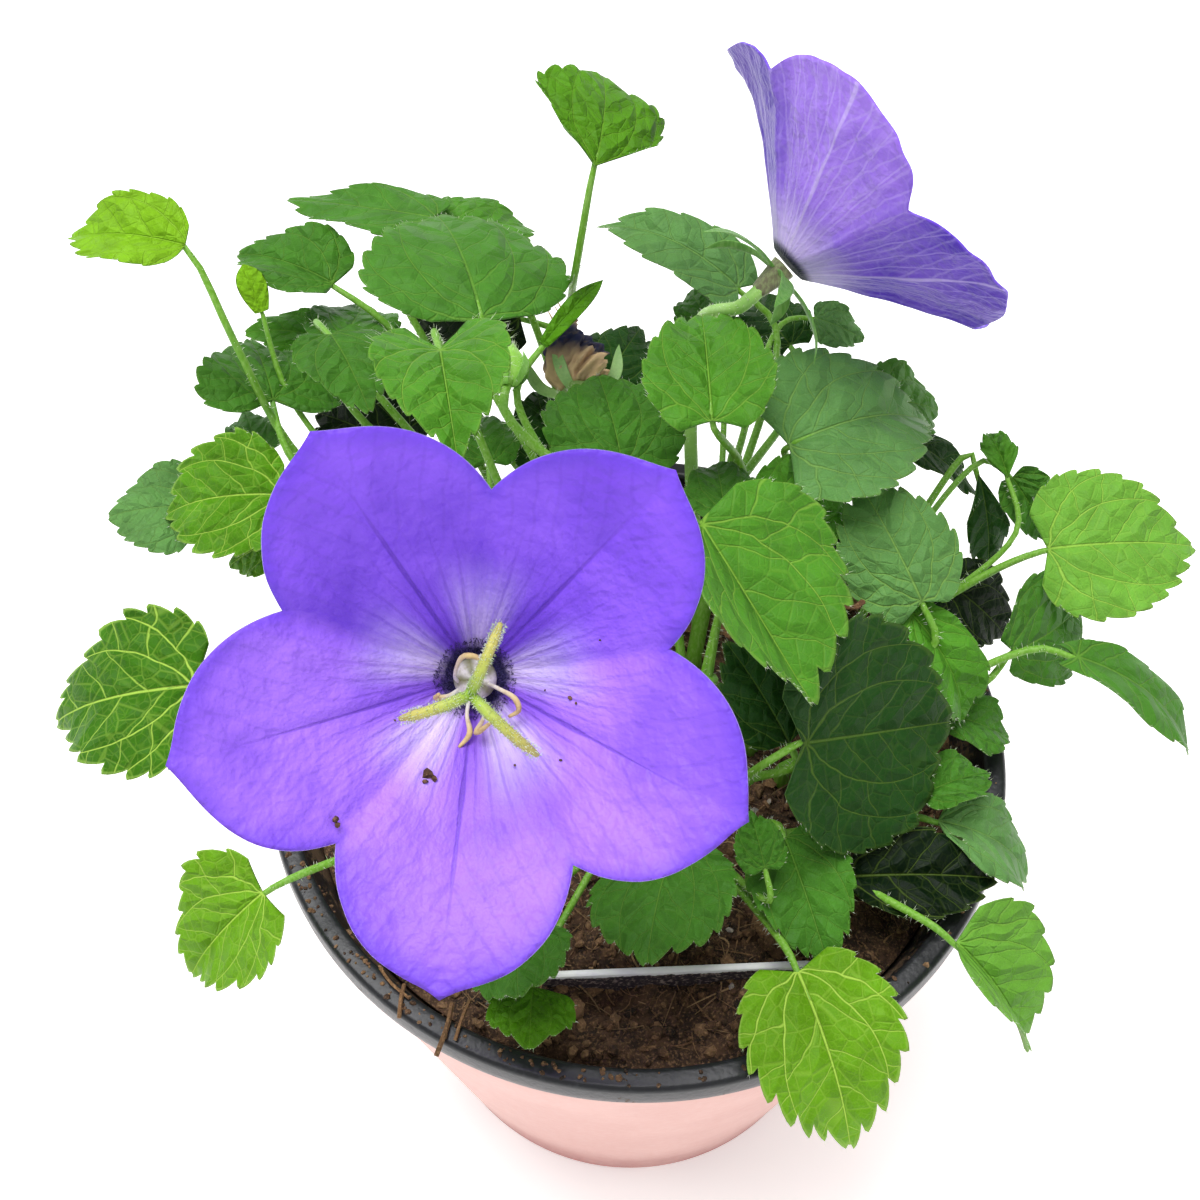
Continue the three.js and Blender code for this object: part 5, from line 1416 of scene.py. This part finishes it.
def litterParts(random):
    # Crumbs, fibres, bark chips and pale grit on the mix, and crumbs on the lip and inner wall
    form = mixForm
    browns, straws = (np.array([srgb(*shade) for shade in form[name]]) for name in ("browns", "straws"))
    onMix = lambda x, y, up: np.stack([x, y, mixTop(x, y) + up], axis=-1)
    anyOf = lambda shades, count: shades[random.integers(0, len(shades), count)]
    x, y = scattered(form["crumbs"], random)
    size = random.uniform(0.25, 1.0, form["crumbs"]) ** 1.4
    made = [lumps(onMix(x, y, 0.3 * size), size, anyOf(browns, len(x)), random)]
    x, y = scattered(form["fibres"], random, 45)
    spin, long = random.uniform(0, fullTurn, len(x)), random.uniform(2, 7, len(x))
    starts = onMix(x, y, 0.2)
    x, y = x + long * np.cos(spin), y + long * np.sin(spin)
    ends = onMix(x, y, random.uniform(0, 1.4, len(x)))
    inside = np.hypot(x, y) < form["inside"]
    count = inside.sum()
    sag, radius = random.uniform(-1, 1, count), random.uniform(0.06, 0.2, count)
    tone = anyOf(straws, count)
    made.append(threads(starts[inside], ends[inside], sag, radius, random, tone))
    x, y = scattered(form["chips"], random, 44)
    size = random.uniform(0.8, 2.0, len(x))
    bark = np.tile(srgb(156, 120, 84), (len(x), 1)) * random.uniform(0.6, 1.1, (len(x), 1))
    made.append(lumps(onMix(x, y, 0.4), size, bark, random, (1.6, 0.8, 0.3)))
    x, y = scattered(form["beads"], random, 45)
    size = random.uniform(0.25, 0.8, len(x))
    made.append(lumps(onMix(x, y, 0.3), size, np.tile(srgb(206, 200, 190), (len(x), 1)), random))
    count = form["lipCrumbs"]
    anywhere = random.random(count) < 0.5
    turn = np.where(anywhere, random.uniform(0, fullTurn, count), random.uniform(3.4, 4.7, count))
    wall = random.random(count) < 0.55
    height = random.uniform(79, 85.5, count)
    onWall = form["wallReach"] - 0.22 * (84 - height) * (height < 82)
    out = np.where(wall, onWall, form["lipReach"] + random.uniform(-1, 1, count))
    spots = ringsAt(out, turn, np.where(wall, height, potForm["height"] + 0.05))
    size = random.uniform(0.12, 0.45, count)
    made.append(lumps(spots, size, anyOf(browns, count), random))
    return made


def mixMaterial():
    material, tree, shader = newMaterial("mix")
    here = objectPlace(tree)
    clods, grit = grain(tree, here, 420, 5, 0.7), grain(tree, here, 2400, 3)
    colour = tint(tree, ease(tree, clods, 0.35, 0.65), srgb(22, 15, 11), srgb(118, 86, 60))
    colour = tint(tree, ease(tree, grit, 0.5, 0.68), colour, srgb(168, 130, 92))
    colour = tint(tree, 0.5, colour, kept(tree, "tone", True))
    feed(tree, shader["Base Color"], colour)
    shader["Roughness"].default_value = 0.95
    height = calc(tree, "ADD", clods, calc(tree, "MULTIPLY", grit, 0.5))
    feed(tree, shader["Normal"], bumped(tree, height, 0.9, 0.0008))
    return material


# Pots and label

def turned(profile):
    # A body turned round the upright axis from [radius, height] points, closed at both ends
    profile = np.array(profile, float)
    return closedSleeve(ringsAt(profile[:, :1], turns(potForm["sides"]), profile[:, 1:]))


def arc(r, z, radius, start, end, count):
    turn = np.linspace(start, end, count)
    return list(zip(r + radius * np.cos(turn), z + radius * np.sin(turn)))


def coverPotPart():
    # A tapered wall that stands on a rounded heel
    form = potForm
    top = form["height"] - form["lipDepth"] - form["gap"]
    outer = lambda z: form["coverBase"] + (form["coverTop"] - form["coverBase"]) * z / top
    heel, wall, base, soft = form["heel"], form["coverWall"], form["coverFloor"], 0.3
    edge = [(outer(z), z) for z in np.linspace(heel, top - soft, 24)]
    inside = [(outer(z) - wall, z) for z in (top - soft, 60, 40, 20, base + 2 * soft)]
    return turned([
        (12, 0), (24, 0), *arc(outer(heel) - heel, heel, heel, -math.pi / 2, 0, 12), *edge[1:],
        (outer(top) - soft, top), (outer(top) - wall + soft, top), *inside,
        (outer(base) - wall - 2 * soft, base), (12, base),
    ])


def growPotPart():
    # A tapered wall with a flat floor and a lip that rolls over the cover pot's edge
    form = potForm
    height, wall = form["height"], form["growWall"]
    bottom, under = form["coverFloor"] + form["gap"], height - form["lipDepth"]
    lip, inner, soft = form["lipRadius"], form["lipRadius"] - form["lipWidth"], form["lipRound"]
    spread, base = form["growTop"] - form["growBase"], form["growBase"]
    side = [(base + spread * t, bottom + (under - bottom) * t) for t in np.linspace(0.02, 1, 14)]
    back = [(out - wall, z) for out, z in side[::-1][1:]]
    return turned([
        (8, bottom), (28, bottom), (base - 0.3, bottom), *side,
        (lip - 0.5, under), (lip - 0.15, under + 0.12), (lip, under + 0.5), (lip + 0.12, under + 1.8),
        *arc(lip - soft, height - soft, soft, 0, math.pi / 2, 9),
        (lip - 1.6, height + 0.06), *arc(inner + soft, height - soft, soft, math.pi / 2, math.pi, 9),
        (inner, under + 0.8), (form["growTop"] - wall, under - wall), *back,
        (base - wall - 1, bottom + form["growFloor"]), (8, bottom + form["growFloor"]),
    ])


def drilled(piece):
    # Cuts the drain holes with upright cylinders and keeps the cut mesh
    form = potForm
    parts = []
    for i in range(form["drains"]):
        spot = ringsAt(form["drainRing"], fullTurn * (i + 0.5) / form["drains"], 0)
        parts.append(rod([spot - [0, 0, 3], spot + [0, 0, 8]], form["drainRadius"], 32, 2))
    cutter = toMesh("drainCutter", parts, piece.data.materials[0])
    cut = piece.modifiers.new("drains", "BOOLEAN")
    cut.operation, cut.object, cut.solver = "DIFFERENCE", cutter, "EXACT"
    seen = piece.evaluated_get(bpy.context.evaluated_depsgraph_get())
    whole = bpy.data.meshes.new_from_object(seen)
    piece.modifiers.clear()
    piece.data = whole
    bpy.data.objects.remove(cutter)


labelForm = {"left": (-12.7, -36.0), "right": (23.0, -34.4), "top": 84, "thick": 0.9, "long": 58,
             "straight": 16, "foot": 9, "corner": 1, "cornerCut": 0.3, "middle": (0, -20.0), "lean": 0.1,
             "bevel": 0.12, "bevelStart": 0.02}


def labelPart():
    # The plate's outline at five depths of its thickness, drawn in at both faces for a soft edge
    form = labelForm
    left, right = np.array(form["left"]), np.array(form["right"])
    half, foot, corner = np.linalg.norm(right - left) / 2, form["foot"] / 2, form["corner"]
    cut, straight = form["cornerCut"], form["straight"]
    outline = np.array([
        (-foot, -form["long"]), (foot, -form["long"]), (half, -straight), (half, -corner), (half - cut, -cut),
        (half - corner, 0), (0, 0), (corner - half, 0), (cut - half, -cut),
        (-half, -corner), (-half, -straight),
    ])
    depth = np.array([-0.5, -0.42, 0, 0.42, 0.5]) * form["thick"]
    inset = np.array([form["bevel"], form["bevelStart"], 0, form["bevelStart"], form["bevel"]])
    flat = outline[None] - inset[:, None, None] * unit(outline - np.array(form["middle"]))[None]
    x, y, z = flat[..., 0], flat[..., 1], depth[:, None] * np.ones(len(outline))
    c, s = math.cos(math.pi / 2 + form["lean"]), math.sin(math.pi / 2 + form["lean"])
    y, z = y * c - z * s, y * s + z * c
    turn = math.atan2(right[1] - left[1], right[0] - left[0])
    c, s = math.cos(turn), math.sin(turn)
    centre = (left + right) / 2
    x, y = x * c - y * s + centre[0], x * s + y * c + centre[1]
    return closedSleeve(np.stack([x, y, z + form["top"]], axis=-1))


def dirtGroup():
    # Dirt and splashes: noise patches that thicken below a height; Low and High are heights in metres
    amounts = [(name, "NodeSocketFloat") for name in ("Low", "High", "Amount")]
    takes = [("Place", "NodeSocketVector"), *amounts]
    group, given, gives = newGroup("dirt", takes, [("Mask", "NodeSocketFloat")])
    make = maths(group)
    _, _, z = split(group, given["Place"])
    coarse, fine = grain(group, given["Place"], 260, 4), grain(group, given["Place"], 1500, 3)
    patches = make("ADD", make("MULTIPLY", coarse, 0.6), make("MULTIPLY", fine, 0.4))
    near = ease(group, z, given["High"], given["Low"])
    line = make("SUBTRACT", 0.72, make("MULTIPLY", near, given["Amount"]))
    group.links.new(ease(group, make("SUBTRACT", patches, line), -0.03, 0.06), gives["Mask"])
    return group


def coverMaterial():
    material, tree, shader = newMaterial("coverPot")
    here = objectPlace(tree)
    _, _, z = split(tree, here)
    # Painted shade: the pink darkens towards the heel, where less light reaches the wall
    colour = tint(tree, ease(tree, z, 0.024, 0.004), srgb(212, 160, 150), srgb(176, 104, 96))
    faded = ease(tree, grain(tree, here, 60, 3), 0.4, 0.7, 0.0, 0.35)
    colour = tint(tree, faded, colour, srgb(228, 184, 174))
    feed(tree, shader["Base Color"], colour)
    feed(tree, shader["Roughness"], calc(tree, "MULTIPLY_ADD", grain(tree, here, 900, 2), 0.2, 0.3))
    feed(tree, shader["Normal"], bumped(tree, grain(tree, here, 1600, 2), 0.15, 0.0002))
    return material


def growMaterial(dirt):
    material, tree, shader = newMaterial("growPot")
    here = objectPlace(tree)
    mask = useGroup(tree, dirt, Place=here, Low=0.079, High=0.0862, Amount=0.26)["Mask"]
    worn = ease(tree, grain(tree, here, 900, 3), 0.55, 0.7, 0.0, 0.5)
    colour = tint(tree, worn, srgb(30, 31, 34), srgb(52, 54, 58))
    feed(tree, shader["Base Color"], tint(tree, mask, colour, srgb(92, 72, 54)))
    rough = calc(tree, "MULTIPLY_ADD", worn, 0.2, 0.34)
    feed(tree, shader["Roughness"], calc(tree, "MULTIPLY_ADD", mask, 0.5, rough))
    shader["Specular IOR Level"].default_value = 0.38
    height = calc(tree, "ADD", grain(tree, here, 1400, 2), mask)
    feed(tree, shader["Normal"], bumped(tree, height, 0.25, 0.0002))
    return material


def labelMaterial(dirt):
    material, tree, shader = newMaterial("label")
    here = objectPlace(tree)
    mask = useGroup(tree, dirt, Place=here, Low=0.0824, High=0.084, Amount=0.42)["Mask"]
    specks = ease(tree, grain(tree, here, 1800, 3), 0.5, 0.66)
    soiled = tint(tree, specks, srgb(52, 42, 50), srgb(150, 134, 128))
    cloudy = ease(tree, grain(tree, here, 300, 3), 0.4, 0.7)
    colour = tint(tree, cloudy, srgb(252, 252, 252), srgb(238, 236, 242))
    feed(tree, shader["Base Color"], tint(tree, mask, colour, soiled))
    feed(tree, shader["Roughness"], calc(tree, "MULTIPLY_ADD", mask, 0.4, 0.4))
    height = calc(tree, "ADD", grain(tree, here, 1400, 2), mask)
    feed(tree, shader["Normal"], bumped(tree, height, 0.2, 0.0002))
    return material


# Loose bits: crumbs fallen on the front flower, dry stalks over the lip, dead leaf scraps

looseForm = {
    # seen at x, y with a size
    "crumbs": ((428, 774, 0.55), (434, 778, 0.45), (425, 781, 0.35), (336, 819, 0.4), (338, 825, 0.3),
               (570, 698, 0.3), (576, 703, 0.25), (561, 760, 0.2), (515, 765, 0.2), (600, 640, 0.15),
               (395, 720, 0.15), (545, 690, 0.15)),
    # seen at x, y and a height, with a thickness
    "straws": ((((452, 1004, 86.0), (447, 1026, 87.2), (436, 1056, 86.6)), 0.35),
               (((470, 1000, 85), (462, 1018, 87.0), (455, 1040, 87.1)), 0.25),
               (((404, 985, 86.0), (401, 998, 87.2), (399, 1018, 86.9)), 0.3),
               (((380, 968, 86.4), (392, 984, 87.1), (409, 998, 87.0)), 0.2)),
    # seen at x, y and a height, with a size
    "scraps": ((728, 630, 97.0, 1.5), (735, 622, 97.5, 1.1), (852, 607, 111.5, 1.1), (860, 604, 111.8, 0.8)),
}


def onBell(bloom, x, y):
    # Where the line of sight meets the bell: its depth is fed back until it settles
    axes = bloomAxes(bloom)
    ray = axes @ sightLine(x, y)
    eye = axes @ (view["eye"] - np.array(bloom["centre"], float))
    level = 0.0
    for _ in range(30):
        spot = eye + ray * ((level - eye[2]) / ray[2])
        turn, reach = math.atan2(spot[1], spot[0]), math.hypot(spot[0], spot[1]) / bloom["radius"]
        level += 0.5 * (float(bellDepth(bloom, turn, reach)) - level)
    return bloomPlace(bloom)[0](spot)


def looseParts(random):
    # Stones of mix on the front flower, straws over the lip and flat scraps of dead leaf
    form = looseForm
    spots = form["crumbs"]
    centres = np.array([onBell(blooms[0], x, y) for x, y, _ in spots]) + 0.15 * np.array([0, -0.6, 0.75])
    size = np.array([size for *_, size in spots])
    made = [lumps(centres, size, np.tile(srgb(96, 66, 44), (len(spots), 1)), random)]
    straw = srgb(150, 112, 72)
    for line, thick in form["straws"]:
        stalk = rod([seenAt(spot) for spot in line], thick, 5, 8)
        made.append(painted(stalk, straw * random.uniform(0.7, 1.1)))
    scraps = form["scraps"]
    centres = np.array([seenAt(spot[:3]) for spot in scraps])
    size = np.array([spot[3] for spot in scraps])
    made.append(lumps(centres, size, np.tile(srgb(112, 74, 44), (len(scraps), 1)), random, (1.5, 0.8, 0.3)))
    return made


# Assembly

buildCamera()
buildStudio()
print("camera, floor and light")

dirt = dirtGroup()
cover = toMesh("pot.cover", coverPotPart(), coverMaterial())
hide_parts("cover_pot")
grow = toMesh("pot.grow", growPotPart(), growMaterial(dirt))
drilled(grow)
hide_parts("grow_pot")
label = toMesh("label.plate", labelPart(), labelMaterial(dirt))
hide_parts("plant_label")
print("pots and label")

random = np.random.default_rng(7)
earth = mixMaterial()
mix = toMesh("mix.body", mixPart(), earth)
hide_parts("soil")
for name, parts in (("mix.litter", litterParts(random)), ("loose.bits", looseParts(random))):
    toMesh(name, parts, earth, smooth=False)
print("mix and litter")

bladeFinish, stalkFinish = leafMaterial(leafVeinGroup()), stalkMaterial()
hairFinish = fuzzMaterial("hair", 700, srgb(206, 228, 176), srgb(238, 244, 226))
for stem in leafyStems:
    blades, stalks, fuzz = leafyStemParts(stem, random)
    if stem["buds"]:
        top = np.array(stem["top"], float)
        for more, down in (budParts(top, random), calyxParts(top, random)):
            stalks += more
            fuzz += down
    for ending, parts, finish in (("blades", blades, bladeFinish), ("stalks", stalks, stalkFinish),
                                  ("hairs", fuzz, hairFinish)):
        piece = toMesh(f"{stem['name']}.{ending}", parts, finish)
        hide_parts(stem["name"])
print("leafy stems:", len(leafyStems))

petalFinish, pistilFinish = petalMaterial(), flowerMaterial("pistil")
stamenFinish = flowerMaterial("stamen", 0.7, 1500, srgb(150, 112, 60))
throatFinish = fuzzMaterial("throatHair", 900, srgb(34, 26, 70), srgb(86, 70, 140))
for number, bloom in enumerate(blooms):
    name = bloom["name"]
    corolla = toMesh(f"{name}.petals", corollaPart(bloom, 20 + number), petalFinish)
    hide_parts(f"{name}_corolla")
    toMesh(f"{name}.throat", throatHairs(bloom, random), throatFinish)
    style, stamens, down = pistilParts(bloom, random)
    for ending, parts, finish in (("style", style, pistilFinish), ("stamens", stamens, stamenFinish),
                                  ("down", down, hairFinish)):
        piece = toMesh(f"{name}.{ending}", parts, finish)
        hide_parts(f"{name}_pistil")
    stem, down = bloomStemParts(bloom, random)
    for ending, parts, finish in (("stem", stem, stalkFinish), ("stemHairs", down, hairFinish)):
        piece = toMesh(f"{name}.{ending}", parts, finish)
        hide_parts(f"{name}_stem")
witheredFinish = flowerMaterial("withered", 0.9, 900, srgb(96, 76, 58))
withered = toMesh("withered.flower", witheredParts(random), witheredFinish)
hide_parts("withered_bloom")
print("flowers:", len(blooms))

[[list(corner) for corner in box] for box in (cadBox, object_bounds())]
